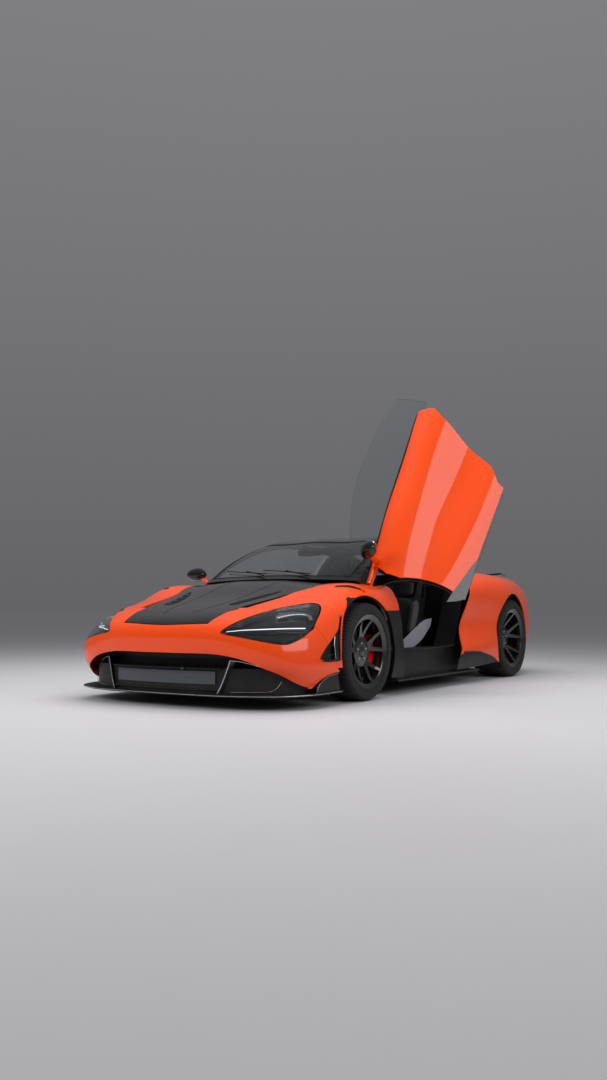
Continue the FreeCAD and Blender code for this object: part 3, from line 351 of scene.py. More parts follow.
def rings_group():
    """Fine rings turned about a piece's own Y axis."""
    group, given, result, place = new_group(
        "Turned Rings", [("Pitch", 0.0012), ("Depth", 0.00008)], [MASK, NORMAL])
    parts = split(group, place)
    squares = [maths(group, "POWER", parts[axis], 2.0) for axis in "XZ"]
    radius = maths(group, "SQRT", maths(group, "ADD", *squares))
    groove = maths(group, "PINGPONG", maths(group, "DIVIDE", radius, given["Pitch"]), 0.5)
    patchy = maths(group, "MULTIPLY", noise(group, place, 40.0, 4.0), 2.0)
    wire(group, maths(group, "MULTIPLY", groove, patchy), result["Mask"])
    wire(group, bump(group, groove, given["Depth"]), result["Normal"])


# Materials


def colour(red, green, blue):
    """Linear colour from numbers of 0 to 255 as they appear on a screen."""
    parts = []
    for value in (red, green, blue):
        value /= 255
        parts.append(value / 12.92 if value <= 0.04045 else ((value + 0.055) / 1.055) ** 2.4)
    return (*parts, 1.0)


def lighter(shade, factor):
    return (*[min(1.0, value * factor) for value in shade[:3]], 1.0)


def start_material(name, **values):
    """The tree and shader of a new material, with its Principled sockets set by name."""
    material = bpy.data.materials.new(name)
    material.use_nodes = True
    shader = material.node_tree.nodes["Principled BSDF"]
    for label, value in values.items():
        shader.inputs[label.replace("_", " ")].default_value = value
    return material.node_tree, shader


def use_group(tree, name, **values):
    node = tree.nodes.new("ShaderNodeGroup")
    node.node_tree = bpy.data.node_groups[name]
    for label, value in values.items():
        node.inputs[label].default_value = value
    return node.outputs


def vary(tree, shader, mask, low, high, socket="Base Color"):
    """Runs a colour or a number between two values along a mask."""
    if isinstance(low, tuple):
        out = add_node(tree, "ShaderNodeMix", {0: mask, 6: low, 7: high}, data_type="RGBA").outputs[2]
    else:
        out = add_node(tree, "ShaderNodeMapRange", {"Value": mask, "To Min": low, "To Max": high}).outputs[0]
    if socket:
        wire(tree, out, shader.inputs[socket])
    return out


DUST = colour(120, 112, 104)
DUST_HEIGHT = 0.28


def with_dust(tree, shader, source, amount, height=DUST_HEIGHT):
    """Lays road dust over the base colour."""
    dust = use_group(tree, "Road Dust", Height=height, Amount=amount)
    mix = add_node(tree, "ShaderNodeMix", {0: dust["Mask"], 6: source, 7: DUST}, data_type="RGBA")
    wire(tree, mix.outputs[2], shader.inputs["Base Color"])


def paint_material(name, shade, coat, gloss, rough):
    tree, shader = start_material(
        name, Coat_Weight=coat, Coat_Roughness=gloss, Roughness=rough, Specular_IOR_Level=0.15)
    flakes = use_group(tree, "Paint Flakes", Scale=1600.0, Ripple=0.00001)
    tone = vary(tree, shader, flakes["Mask"], lighter(shade, 0.93), lighter(shade, 1.07), None)
    with_dust(tree, shader, tone, 0.10, 0.30)
    wire(tree, flakes["Normal"], shader.inputs["Coat Normal"])


MOULDED = [
    # name, colour on a screen, roughness, metallic, grain scale, depth, contrast, dust, other sockets
    ("satin black plastic", (14, 14, 15), (0.40, 0.55), 0.0, 900, 0.00012, 0.6, 0.25,
     {"Specular_IOR_Level": 0.3}),
    ("rubber seal", (13, 13, 14), (0.6, 0.75), 0.0, 500, 0.00012, 0.6, 0.25, {}),
    ("bright steel", (176, 178, 182), (0.18, 0.30), 1.0, 1200, 0.00005, 0.5, 0.15, {}),
    ("dark alloy", (90, 92, 96), (0.30, 0.42), 1.0, 500, 0.0002, 0.5, 0.3, {}),
    ("wire core", (9, 9, 10), (0.5, 0.7), 0.2, 300, 0.0008, 0.8, 0.2, {}),
    ("cast metal", (120, 122, 124), (0.45, 0.6), 1.0, 260, 0.0005, 0.8, 0.4, {}),
    ("rim black", (8, 8, 9), (0.16, 0.26), 0.0, 1400, 0.00003, 0.4, 0.1,
     {"Coat_Weight": 0.6, "Coat_Roughness": 0.06}),
    ("caliper red", (196, 22, 18), (0.22, 0.34), 0.0, 600, 0.0001, 0.4, 0.1,
     {"Coat_Weight": 0.7, "Coat_Roughness": 0.08}),
    ("cabin trim", (30, 30, 33), (0.7, 0.85), 0.0, 1500, 0.0003, 0.8, 0.0, {"Sheen_Weight": 0.3}),
    ("tyre rubber", (18, 18, 19), (0.66, 0.82), 0.0, 700, 0.0002, 0.5, 0.0, {}),
    # Silver for strips laid along edges of black parts: painted highlights where those edges catch the light
    ("silver painted highlight", (190, 192, 196), (0.22, 0.32), 1.0, 1200, 0.00004, 0.3, 0.0, {}),
    ("grey panel", (58, 60, 66), (0.34, 0.46), 0.0, 1200, 0.00004, 0.3, 0.0,
     {"Coat_Weight": 0.4, "Coat_Roughness": 0.12}),
    ("pale accent", (150, 153, 160), (0.36, 0.48), 0.0, 1200, 0.00006, 0.3, 0.0, {}),
]


def moulded_materials():
    for name, screen, rough, metallic, scale, depth, contrast, dust, sockets in MOULDED:
        shade = colour(*screen)
        tree, shader = start_material(name, Metallic=metallic, **sockets)
        grain = use_group(tree, "Surface Grain", Scale=scale, Depth=depth, Contrast=contrast)
        tone = vary(tree, shader, grain["Mask"], lighter(shade, 0.8), lighter(shade, 1.25), None)
        with_dust(tree, shader, tone, dust)
        vary(tree, shader, grain["Mask"], *rough, "Roughness")
        wire(tree, grain["Normal"], shader.inputs["Normal"])


def hide_materials():
    for name, shade, scale in (("seat leather", colour(28, 28, 31), 700.0),
                               ("bolster suede", colour(38, 38, 42), 1600.0)):
        tree, shader = start_material(name, Sheen_Weight=0.15)
        hide = use_group(tree, "Hide Grain", Scale=scale, Depth=0.00025)
        vary(tree, shader, hide["Mask"], lighter(shade, 0.8), lighter(shade, 1.25))
        vary(tree, shader, hide["Mask"], 0.48, 0.66, "Roughness")
        wire(tree, hide["Normal"], shader.inputs["Normal"])


def carbon_material():
    tree, shader = start_material(
        "carbon weave", Coat_Weight=1.0, Coat_Roughness=0.03, Metallic=0.2)
    twill = use_group(tree, "Twill Weave", Tow=0.0028, Depth=0.00012)
    tone = vary(tree, shader, twill["Mask"], colour(12, 12, 14), colour(26, 27, 29), None)
    with_dust(tree, shader, tone, 0.2)
    vary(tree, shader, twill["Mask"], 0.32, 0.5, "Roughness")
    wire(tree, twill["Normal"], shader.inputs["Normal"])


def disc_material():
    tree, shader = start_material("brake disc", Metallic=0.9)
    rings = use_group(tree, "Turned Rings", Pitch=0.0011, Depth=0.00006)
    vary(tree, shader, rings["Mask"], colour(70, 71, 74), colour(112, 113, 116))
    vary(tree, shader, rings["Mask"], 0.28, 0.42, "Roughness")
    wire(tree, rings["Normal"], shader.inputs["Normal"])


def glass_materials():
    for name, shade in (("window glass", colour(234, 240, 240)), ("clear lens", colour(240, 243, 246))):
        tree, shader = start_material(
            name, Base_Color=shade, Roughness=0.0, IOR=1.45, Transmission_Weight=1.0, Specular_IOR_Level=0.25)
        film = use_group(tree, "Surface Grain", Scale=30.0, Depth=0.00001, Contrast=0.5)
        vary(tree, shader, film["Mask"], 0.0, 0.03, "Roughness")


def lamp_materials():
    for name, shade, power in (("white light strip", colour(236, 240, 250), 1.6),
                               ("red light strip", colour(255, 24, 12), 1.2)):
        tree, shader = start_material(
            name, Roughness=0.25, Emission_Strength=power, Coat_Weight=0.5)
        grain = use_group(tree, "Surface Grain", Scale=120.0, Depth=0.0001, Contrast=0.6)
        vary(tree, shader, grain["Mask"], lighter(shade, 0.85), shade, "Base Color")
        vary(tree, shader, grain["Mask"], lighter(shade, 0.85), shade, "Emission Color")
        wire(tree, grain["Normal"], shader.inputs["Normal"])
    tree, shader = start_material("mirror chrome", Metallic=1.0)
    grain = use_group(tree, "Surface Grain", Scale=60.0, Depth=0.00001, Contrast=0.4)
    vary(tree, shader, grain["Mask"], colour(196, 198, 202), colour(222, 224, 228))
    vary(tree, shader, grain["Mask"], 0.05, 0.1, "Roughness")


def build_materials():
    for group in (grain_group, flake_group, dust_group, weave_group, leather_group, rings_group):
        group()
    chosen = bpy.context.scene.supercar_colours
    paint_material("orange paint", (*chosen.body, 1.0), 0.7, 0.07, 0.42)
    paint_material("gloss black paint", (*chosen.trim, 1.0), 1.0, 0.02, 0.30)
    for family in (moulded_materials, hide_materials, carbon_material, disc_material, glass_materials,
                   lamp_materials):
        family()


# Pieces


def mm(*values):
    return tuple(value / 1000 for value in values)


def body_of(node):
    return nodes[node]["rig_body"]


HINGE_POINT = Vector(mm(1002, 800, 711))
HINGE_AXIS = Vector((0.487, 0.739, -0.466)).normalized()
SWING = math.radians(76)
OPEN = (Matrix.Translation(HINGE_POINT) @ Matrix.Rotation(SWING, 4, HINGE_AXIS)
        @ Matrix.Translation(-HINGE_POINT))
SHUT = Matrix.Identity(4)


def new_piece(name, mesh, body, material, origin=None, replaces=()):
    """A finished mesh as a piece on its body."""
    piece = bpy.data.objects.new(name, mesh)
    bpy.context.scene.collection.objects.link(piece)
    if not mesh.materials:
        mesh.materials.append(bpy.data.materials[material])
    if origin is not None:
        mesh.transform(Matrix.Translation(-Vector(origin)))
        piece.location = origin
    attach(piece, body)
    if replaces:
        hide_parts(*replaces)
    return piece


WELD, SLIVER = 0.00004, 0.00002


def welded(node):
    """A bmesh of a frame node with its faces joined along their edges."""
    bm = bmesh.new()
    bm.from_mesh(nodes[node].data)
    bmesh.ops.remove_doubles(bm, verts=bm.verts, dist=WELD)
    bmesh.ops.dissolve_degenerate(bm, edges=bm.edges, dist=SLIVER)
    return bm


def rounded(bm, width, angle):
    """Rounds the sharp convex edges and marks the new faces."""
    mark = bm.faces.layers.int.new("rounding")
    limit = math.radians(angle)
    sharp = [e for e in bm.edges if len(e.link_faces) == 2 and e.calc_face_angle(0.0) > limit
             and e.is_convex]
    if sharp and width > 0:
        result = bmesh.ops.bevel(bm, geom=sharp, offset=width, offset_type="OFFSET", segments=2,
                                 profile=0.5, affect="EDGES", clamp_overlap=False)
        for face in result["faces"]:
            face[mark] = 1
    for face in bm.faces:
        face.smooth = True


def attribute(items, name, size, kind=float):
    values = np.empty(len(items) * size, kind)
    items.foreach_get(name, values)
    return values.reshape(-1, size) if size > 1 else values


# How near to the skin's own direction a face or a rounding must lie to take its normal
ALONG, MEETING = 0.985, 0.6


def set_normals(mesh, skin, angle, moved=SHUT):
    """Gives faces along the skin its true normals, and smooths the rest by angle."""
    spots = attribute(mesh.vertices, "co", 3)
    corners = attribute(mesh.loops, "vertex_index", 1, int)
    totals = attribute(mesh.polygons, "loop_total", 1, int)
    faces = np.repeat(np.arange(len(totals)), totals)
    own = attribute(mesh.polygons, "normal", 3)[faces]
    weight = attribute(mesh.polygons, "area", 1)[faces]
    # Averages the faces round each vertex that turn less than the angle, weighted by area.
    order = np.argsort(corners, kind="stable")
    vertex = corners[order]
    counts = np.bincount(corners, minlength=len(spots))
    starts = np.cumsum(counts) - counts
    per = counts[vertex]
    first = np.repeat(np.arange(len(order)), per)
    step = np.arange(per.sum()) - np.repeat(np.cumsum(per) - per, per)
    second = np.repeat(starts[vertex], per) + step
    sorted_own, sorted_weight = own[order], weight[order]
    close = (sorted_own[first] * sorted_own[second]).sum(1) > math.cos(math.radians(angle))
    share = sorted_weight[second] * close
    total = np.stack([np.bincount(first, share * sorted_own[second][:, k], len(order)) for k in range(3)], 1)
    length = np.linalg.norm(total, axis=1)
    chosen = np.array(own)
    fine = length > 1e-12
    chosen[order[fine]] = total[fine] / length[fine][:, None]
    if skin is not None:
        turn = np.array(moved.to_3x3())
        shift = np.array(moved.translation)
        true = skin.nearest((spots - shift) @ turn)[0] @ turn.T
        facing = (own * true[corners]).sum(1)
        marks = np.zeros(len(mesh.polygons), int)
        if "rounding" in mesh.attributes:
            mesh.attributes["rounding"].data.foreach_get("value", marks)
        marked = marks[faces] == 1
        # A rounding's corner takes the skin's normal where it meets a face of the skin.
        along = (np.abs(facing) > ALONG) & ~marked
        sided = np.zeros(len(spots))
        np.maximum.at(sided, corners[along], 1.0)
        meets = marked & (sided[corners] > 0) & (np.abs(facing) > MEETING)
        use = along | meets
        chosen[use] = true[corners[use]] * np.sign(facing[use])[:, None]
    mesh.normals_split_custom_set(chosen.tolist())


def dressed(node, name, material, skin=None, width=0.0012, angle=32.0, origin=None, moved=SHUT):
    """A frame node made again with rounded edges and smooth shading."""
    bm = welded(node)
    rounded(bm, width, angle)
    mesh = bpy.data.meshes.new(name)
    bm.to_mesh(mesh)
    bm.free()
    set_normals(mesh, skin, angle, moved)
    return new_piece(name, mesh, body_of(node), material, origin, (node,))


def superellipse(half_a, half_b, power=2.6, sides=20):
    """Closed section, (across, out), rounder than a rectangle."""
    section = []
    for i in range(sides):
        angle = 2 * math.pi * (i + 0.5) / sides
        c, s = math.cos(angle), math.sin(angle)
        section.append((half_a * math.copysign(abs(c) ** (2 / power), c),
                        half_b * math.copysign(abs(s) ** (2 / power), s)))
    return section


class Shape:
    """Points and faces that become one piece."""

    def __init__(self):
        self.points = []
        self.faces = []

    def add(self, points, faces):
        start = len(self.points)
        self.points += [Vector(p) for p in points]
        self.faces += [[start + i for i in face] for face in faces]
        return self

    def loops(self, rings, caps=True, closed=False):
        """Skins rings of equally many points."""
        count = len(rings[0])
        points = [p for ring in rings for p in ring]
        faces = []
        for k in range(len(rings) - (0 if closed else 1)):
            a, b = k * count, (k + 1) % len(rings) * count
            faces += [(a + i, a + (i + 1) % count, b + (i + 1) % count, b + i) for i in range(count)]
        if caps and not closed:
            faces += [tuple(reversed(range(count))), tuple(range(len(points) - count, len(points)))]
        return self.add(points, faces)

    def sweep(self, path, outs, section, closed=False):
        """Carries a section (across, out) along a path; outs are the outward directions on it."""
        path = [Vector(p) for p in path]
        rings = []
        for k, point in enumerate(path):
            before = path[k - 1] if k or closed else path[k]
            after = path[(k + 1) % len(path)] if k < len(path) - 1 or closed else path[k]
            along = (after - before).normalized()
            out = Vector(outs[k] if len(outs) == len(path) else outs[0])
            out = (out - along * out.dot(along)).normalized()
            across = along.cross(out)
            rings.append([point + across * a + out * b for a, b in section])
        return self.loops(rings, True, closed)

    def tube(self, path, radius, sides=10):
        """A round bar along a path that nowhere stands upright."""
        return self.sweep(path, [(0.02, 0.05, 1)], superellipse(radius, radius, 2.0, sides))

    def rod(self, a, b, radius, sides=20):
        """A straight round bar between two points."""
        out = (0.013, 0.9, 0.31) if abs((Vector(b) - Vector(a)).normalized().y) < 0.8 else (0.9, 0.02, 0.3)
        return self.sweep([a, b], [out], superellipse(radius, radius, 2.0, sides))

    def prism(self, outline, direction):
        """A flat outline carried along a direction."""
        move = Vector(direction)
        points = [Vector(p) for p in outline]
        return self.loops([points, [p + move for p in points]])

    def box(self, low, high):
        (a, b, c), (d, e, f) = low, high
        return self.prism([(a, b, c), (d, b, c), (d, e, c), (a, e, c)], (0, 0, f - c))

    def lathe(self, profile, centre, sides=48, axis="Y"):
        """Turns (radius, along) points about an axis through the centre, closing the profile."""
        rings = []
        for k in range(sides):
            angle = 2 * math.pi * k / sides
            c, s = math.cos(angle), math.sin(angle)
            ring = []
            for radius, along in profile:
                spot = {"Y": (radius * c, along, radius * s), "X": (along, radius * c, radius * s),
                        "Z": (radius * c, radius * s, along)}[axis]
                ring.append(Vector(spot) + Vector(centre))
            rings.append(ring)
        return self.loops(rings, False, True)

    def mirrored(self):
        """Adds the other side's copy."""
        start = len(self.points)
        self.points += [Vector((p.x, -p.y, p.z)) for p in self.points]
        self.faces += [[start + i for i in reversed(face)] for face in self.faces]
        return self

    def sided(self, side):
        """Turns a left shape into a right one where side is -1."""
        if side < 0:
            self.points = [Vector((p.x, -p.y, p.z)) for p in self.points]
            self.faces = [list(reversed(face)) for face in self.faces]
        return self

    def moved(self, matrix):
        self.points = [matrix @ p for p in self.points]
        return self

    def piece(self, name, body, material, slot, width=0.0, angle=35.0, origin=None, replaces=(),
              subdivide=0):
        bm = bmesh.new()
        made = [bm.verts.new(p) for p in self.points]
        for face in self.faces:
            if len(set(face)) > 2:
                bm.faces.new([made[i] for i in face])
        bmesh.ops.remove_doubles(bm, verts=bm.verts, dist=0.00001)
        bmesh.ops.recalc_face_normals(bm, faces=bm.faces)
        rounded(bm, width, angle)
        mesh = bpy.data.meshes.new(name)
        bm.to_mesh(mesh)
        bm.free()
        if not subdivide:
            set_normals(mesh, None, angle)
        piece = new_piece(name, mesh, body, material, origin, replaces)
        if subdivide:
            soft = piece.modifiers.new("smooth", "SUBSURF")
            soft.levels = soft.render_levels = subdivide
        return piece


def smooth_line(points, steps=8, closed=False):
    """Points of a smooth curve through the given ones."""
    points = [Vector(p) for p in points]
    count = len(points)
    result = []
    last = count if closed else count - 1
    for k in range(last):
        p1, p2 = points[k], points[(k + 1) % count]
        p0 = points[k - 1] if k or closed else p1 * 2 - p2
        p3 = points[(k + 2) % count] if k + 2 < count or closed else p2 * 2 - p1
        for i in range(steps):
            u = i / steps
            result.append(0.5 * (2 * p1 + (p2 - p0) * u + (2 * p0 - 5 * p1 + 4 * p2 - p3) * u**2
                                 + (3 * p1 - p0 - 3 * p2 + p3) * u**3))
    if not closed:
        result.append(points[-1])
    return result


SIDE, TOP, AHEAD = (0, 2), (0, 1), (1, 2)


def on_skin(skin, targets, axes, distance=0.0, t_range=None, s_range=None):
    """Points over the skin and its outward directions, from two known coordinates in mm."""
    t, s = skin.aimed(np.array(targets) / 1000, axes, t_range, s_range)
    point, _, _, normal = skin.at(t, s)
    return point + normal * np.reshape(distance, (-1, 1)), normal


def skin_plate(skin, outline, axes, top, bottom, rings=5, steps=6, smooth=True, t_range=None, s_range=None):
    """A closed sheet between two offsets of the skin, inside an outline in mm.

    top and bottom are offsets, or functions of 0 in the middle to 1 at the edge.
    """
    flat = [(p[0], p[1], 0) for p in outline]
    edge = smooth_line(flat, steps, True) if smooth else dense(flat, steps)
    edge = np.array(edge)[:, :2]
    middle = np.mean(edge, axis=0)
    tops, bottoms = [offset if callable(offset) else (lambda r, value=offset: value)
                     for offset in (top, bottom)]
    layers = []
    for offset in (tops, bottoms):
        layers.append([on_skin(skin, middle + (edge - middle) * share, axes, offset(share) / 1000,
                               t_range, s_range)[0] for share in np.linspace(0, 1, rings + 1)[1:]])
    shape = Shape()
    upper, lower = layers
    shape.loops([[Vector(p) for p in ring] for ring in upper + lower[::-1]], False)
    count = len(edge)
    for layer, offset in ((upper, tops), (lower, bottoms)):
        hub = on_skin(skin, [middle], axes, offset(0.0) / 1000, t_range, s_range)[0][0]
        ring = [Vector(p) for p in layer[0]]
        shape.add([hub] + ring, [(0, 1 + i, 1 + (i + 1) % count) for i in range(count)])
    return shape


def dense(points, steps):
    """Extra points along the straight edges of a closed outline."""
    result = []
    for k, p in enumerate(points):
        q = points[(k + 1) % len(points)]
        result += [Vector(p).lerp(Vector(q), i / steps) for i in range(steps)]
    return result


def skin_line(skin, line, axes, distance, section, steps=6, closed=False, t_range=None, s_range=None):
    """A section carried along a line on the skin."""
    flat = smooth_line([(p[0], p[1], 0) for p in line], steps, closed)
    spots, outs = on_skin(skin, [p[:2] for p in flat], axes, distance / 1000, t_range, s_range)
    return Shape().sweep(spots, outs, section, closed)


# Operators


class SupercarColours(bpy.types.PropertyGroup):
    """Colours of the car."""

    body: bpy.props.FloatVectorProperty(
        name="Body paint", description="Colour of the painted panels", subtype="COLOR", size=3,
        min=0.0, max=1.0, default=(0.80, 0.062, 0.002))
    trim: bpy.props.FloatVectorProperty(
        name="Trim paint", description="Colour of the gloss black panels", subtype="COLOR", size=3,
        min=0.0, max=1.0, default=(0.003, 0.003, 0.0035))


class SUPERCAR_OT_materials(bpy.types.Operator):
    """Build every material and shader group of the car"""

    bl_idname = "supercar.materials"
    bl_label = "Build materials"

    def execute(self, context):
        build_materials()
        return {"FINISHED"}


PANELS = [
    # node, piece, material, slot, skin
    ("front_bumper", "bumper_skin", "orange paint", "body_orange", "body"),
    ("fender_left", "fender_left_skin", "orange paint", "body_orange", "body"),
    ("fender_right", "fender_right_skin", "orange paint", "body_orange", "body"),
    ("door_left", "door_left_skin", "orange paint", "body_orange", "body"),
    ("door_right", "door_right_skin", "orange paint", "body_orange", "body"),
    ("quarter_left", "quarter_left_skin", "orange paint", "body_orange", "body"),
    ("quarter_right", "quarter_right_skin", "orange paint", "body_orange", "body"),
    ("quarter_blades", "quarter_blade_trims", "satin black plastic", "gloss_black", "body"),
    ("front_lid", "front_lid_skin", "gloss black paint", "gloss_black", "body"),
    ("rear_deck", "rear_deck_skin", "gloss black paint", "gloss_black", "body"),
    ("rear_wing", "rear_wing_skin", "gloss black paint", "gloss_black", "body"),
    ("roof_frame", "roof_frame_skin", "gloss black paint", "gloss_black", "canopy"),
    ("windscreen", "windscreen_glass", "window glass", "glass", "canopy"),
    ("rear_screen", "rear_screen_glass", "window glass", "glass", "canopy"),
    ("door_glass_left", "door_glass_left_pane", "window glass", "glass", "canopy"),
    ("door_glass_right", "door_glass_right_pane", "window glass", "glass", "canopy"),
    ("front_frame", "front_frame_shell", "satin black plastic", "satin_black", "body"),
    ("rear_frame", "rear_frame_shell", "satin black plastic", "satin_black", "body"),
    ("monocell_tub", "tub_shell", "satin black plastic", "carbon", None),
    ("luggage_tub", "luggage_liner", "cabin trim", "satin_black", None),
    ("front_splitter", "splitter_blade", "satin black plastic", "gloss_black", None),
    ("side_skirts", "skirt_blades", "satin black plastic", "gloss_black", None),
    ("fender_blades", "fender_blade_trims", "satin black plastic", "gloss_black", "body"),
    ("fender_vents", "vent_housings", "gloss black paint", "gloss_black", "body"),
    ("intake_panel", "intake_housing", "satin black plastic", "satin_black", None),
    ("tail_lamps", "tail_lamp_bodies", "red light strip", "tail_lamp", None),
    ("tail_panel", "tail_panel_face", "satin black plastic", "satin_black", None),
    ("diffuser", "diffuser_tray", "carbon weave", "carbon", None),
    ("undertray", "undertray_sheet", "carbon weave", "carbon", None),
    ("exhaust_pipes", "exhaust_tubes", "bright steel", "steel", None),
    ("door_mirror_left", "mirror_left_shell", "gloss black paint", "gloss_black", None),
    ("door_mirror_right", "mirror_right_shell", "gloss black paint", "gloss_black", None),
    ("dashboard", "dashboard_top", "cabin trim", "cabin_trim", None),
    ("steering_wheel", "steering_wheel_rim", "bolster suede", "cabin_trim", None),
    ("engine_block", "engine_mass", "cast metal", "cast_metal", None),
    ("drive_shafts", "drive_shaft_pair", "bright steel", "steel", None),
    ("suspension_arms", "arm_set", "dark alloy", "alloy", None),
    ("upright_front_left", "knuckle_left_casting", "cast metal", "cast_metal", None),
    ("upright_front_right", "knuckle_right_casting", "cast metal", "cast_metal", None),
    ("rear_uprights", "rear_upright_castings", "cast metal", "cast_metal", None),
    ("caliper_front_left", "caliper_left_body", "caliper red", "caliper_red", None),
    ("caliper_front_right", "caliper_right_body", "caliper red", "caliper_red", None),
    ("rear_calipers", "rear_caliper_bodies", "caliper red", "caliper_red", None),
]
SWUNG = ("door_left", "door_glass_left", "door_mirror_left")


class SUPERCAR_OT_panels(bpy.types.Operator):
    """Round and smooth the panels, panes and plain pieces"""

    bl_idname = "supercar.panels"
    bl_label = "Build panels"

    def execute(self, context):
        skins = {"body": body_skin, "canopy": canopy_skin, None: None}
        for node, name, material, slot, skin in PANELS:
            dressed(node, name, material, skins[skin], moved=OPEN if node in SWUNG else SHUT)
        return {"FINISHED"}


CORNERS = [
    # name, axle, left or right, centre y, tyre radius, tyre width, rim radius
    ("front_left", FRONT, 1, 0.826, 0.327, 0.245, 0.241),
    ("front_right", FRONT, -1, 0.826, 0.327, 0.245, 0.241),
    ("rear_left", REAR, 1, 0.806, 0.3455, 0.305, 0.254),
    ("rear_right", REAR, -1, 0.806, 0.3455, 0.305, 0.254),
]
BLOCKS = 72


def tyre_rings(radius, width, rim):
    """Cross sections of a tyre with ribs, shoulder blocks and side rings."""
    half = width / 2
    one = [(rim + 0.0004, half - 0.021), (rim + 0.0110, half - 0.017), (rim + 0.0125, half - 0.008),
           (rim + 0.0150, half - 0.0035), (rim + 0.0200, half - 0.0030), (rim + 0.0215, half - 0.0012),
           (rim + 0.0235, half - 0.0012), (rim + 0.0250, half - 0.0026),
           ((radius + rim) / 2 + 0.004, half - 0.0006), (radius - 0.026, half - 0.0030),
           (radius - 0.020, half - 0.0046), (radius - 0.0185, half - 0.0040), (radius - 0.012, half - 0.011),
           (radius - 0.006, half - 0.018), (radius - 0.0025, half - 0.030), (radius - 0.0005, half - 0.042)]
    shoulder = len(one)
    grooves = []
    for place in (0.52, 0.18):
        y = (half - 0.030) * place
        grooves += [(radius, y + 0.0065), (radius - 0.0065, y + 0.0050), (radius - 0.0065, y - 0.0050),
                    (radius, y - 0.0065)]
    half_line = one + grooves
    line = half_line + [(r, -y) for r, y in reversed(half_line)]
    rings = []
    steps = BLOCKS * 4
    for k in range(steps):
        angle = 2 * math.pi * k / steps
        cut = k % 4 == 0
        ring = []
        for i, (r, y) in enumerate(line):
            j = min(i, len(line) - 1 - i)
            if cut and shoulder - 4 <= j <= shoulder:
                r -= 0.0045
            lean = 0.35 * (abs(y) - half * 0.6) if j >= shoulder - 4 else 0.0
            turn = angle + lean
            ring.append((r * math.cos(turn), y, r * math.sin(turn)))
        rings.append(ring)
    return rings


class SUPERCAR_OT_wheels(bpy.types.Operator):
    """Build tyres, rims, discs and wheel bolts"""

    bl_idname = "supercar.wheels"
    bl_label = "Build wheels"

    def execute(self, context):
        for corner, x, side, y, radius, width, rim in CORNERS:
            centre = (x, side * y, radius)
            place = Matrix.Translation(centre)
            body = body_of("rim_" + corner)
            tyre = Shape().loops(tyre_rings(radius, width, rim), False, True).moved(place)
            tyre.piece("tyre_" + corner + "_rubber", body, "tyre rubber", "tyre", 0, 30.0, centre,
                       ("tyre_" + corner,))
            dressed("rim_" + corner, "rim_" + corner + "_alloy", "rim black", None, 0.0022,
                    30.0, centre)
            dressed("disc_" + corner, "disc_" + corner + "_plate", "brake disc", None, 0.0008,
                    30.0, centre)
            self.small_parts(corner, side, centre, rim, body)
        return {"FINISHED"}

    def small_parts(self, corner, side, centre, rim, body):
        face, bolt_circle = 0.060, 0.056
        bolts = Shape()
        for k in range(5):
            angle = 2 * math.pi * (k + 0.25) / 5
            spot = (bolt_circle * math.cos(angle), 0.0, bolt_circle * math.sin(angle))
            bolts.lathe([(0.0, face + 0.004), (0.0055, face + 0.0035), (0.0075, face + 0.0005),
                         (0.0105, face - 0.001), (0.0105, face - 0.006), (0.0, face - 0.006)], spot, 12)
        cap = Shape().lathe([(0.0, face + 0.008), (0.020, face + 0.0072), (0.031, face + 0.0045),
                             (0.0345, face), (0.0345, face - 0.012), (0.0, face - 0.012)], (0, 0, 0), 40)
        stem = Shape().rod((0, 0.070, rim - 0.030), (0, 0.100, rim - 0.024), 0.0035, 12)
        for shape, name, material, slot in ((bolts, "wheel_bolts_", "bright steel", "steel"),
                                            (cap, "hub_cap_", "rim black", "rim_black"),
                                            (stem, "valve_stem_", "rubber seal", "rim_black")):
            shape.sided(side).moved(Matrix.Translation(centre))
            shape.piece(name + corner, body, material, slot, 0, 30, centre)


LAMP_OUTLINE = [(458, 468), (519, 531), (581, 576), (640, 613), (700, 640), (763, 651), (815, 628),
                (856, 560), (878, 490), (872, 434), (843, 401), (789, 402), (728, 414), (619, 436),
                (539, 450)]
LAMP_ZONE = {"t_range": (0.8, 4.4), "s_range": (1.6, 5.4)}
LAMP_RUNS = [
    # piece, line (y, z), depths below the skin, section, steps, material
    ("bar", [(492, 478), (600, 497), (720, 506), (800, 507), (858, 500)], [12, 20, 22, 20, 12],
     (0.0030, 0.0024, 2.4, 12), 6, "white light strip"),
    ("shelf", [(486, 474), (600, 489), (720, 496), (800, 496), (864, 488)], [15, 24, 26, 24, 15],
     (0.0085, 0.0060, 3.0, 14), 6, "rim black"),
    ("pod", [(690, 578), (735, 592), (785, 594), (822, 578), (846, 552)], [24, 20, 19, 20, 22],
     (0.0150, 0.010, 2.6, 20), 8, "mirror chrome"),
    ("brow", [(560, 545), (630, 588), (700, 616), (764, 627), (812, 606), (840, 565)], [14] * 6,
     (0.0045, 0.0035, 2.4, 12), 6, "satin black plastic"),
    ("duct_vane", [(560, 462), (650, 452), (740, 440), (810, 436), (850, 450)], [26, 32, 34, 30, 22],
     (0.010, 0.0035, 3.0, 14), 6, "gloss black paint"),
]


def shrunk(outline, step):
    middle = np.mean(np.array(outline, float), axis=0)
    result = []
    for p in outline:
        arm = np.array(p, float) - middle
        result.append(tuple(middle + arm * (1 - step / np.linalg.norm(arm))))
    return result


def lamp_run(points, depths, section, steps):
    """A section carried along a line inside the lamp, from (y, z) and depth below the skin."""
    flat = smooth_line([(y, z, d) for (y, z), d in zip(points, depths)], steps)
    spots, outs = on_skin(body_skin, [(p.x, p.y) for p in flat], AHEAD,
                          np.array([-p.z / 1000 for p in flat]), **LAMP_ZONE)
    return Shape().sweep(spots, outs, section)


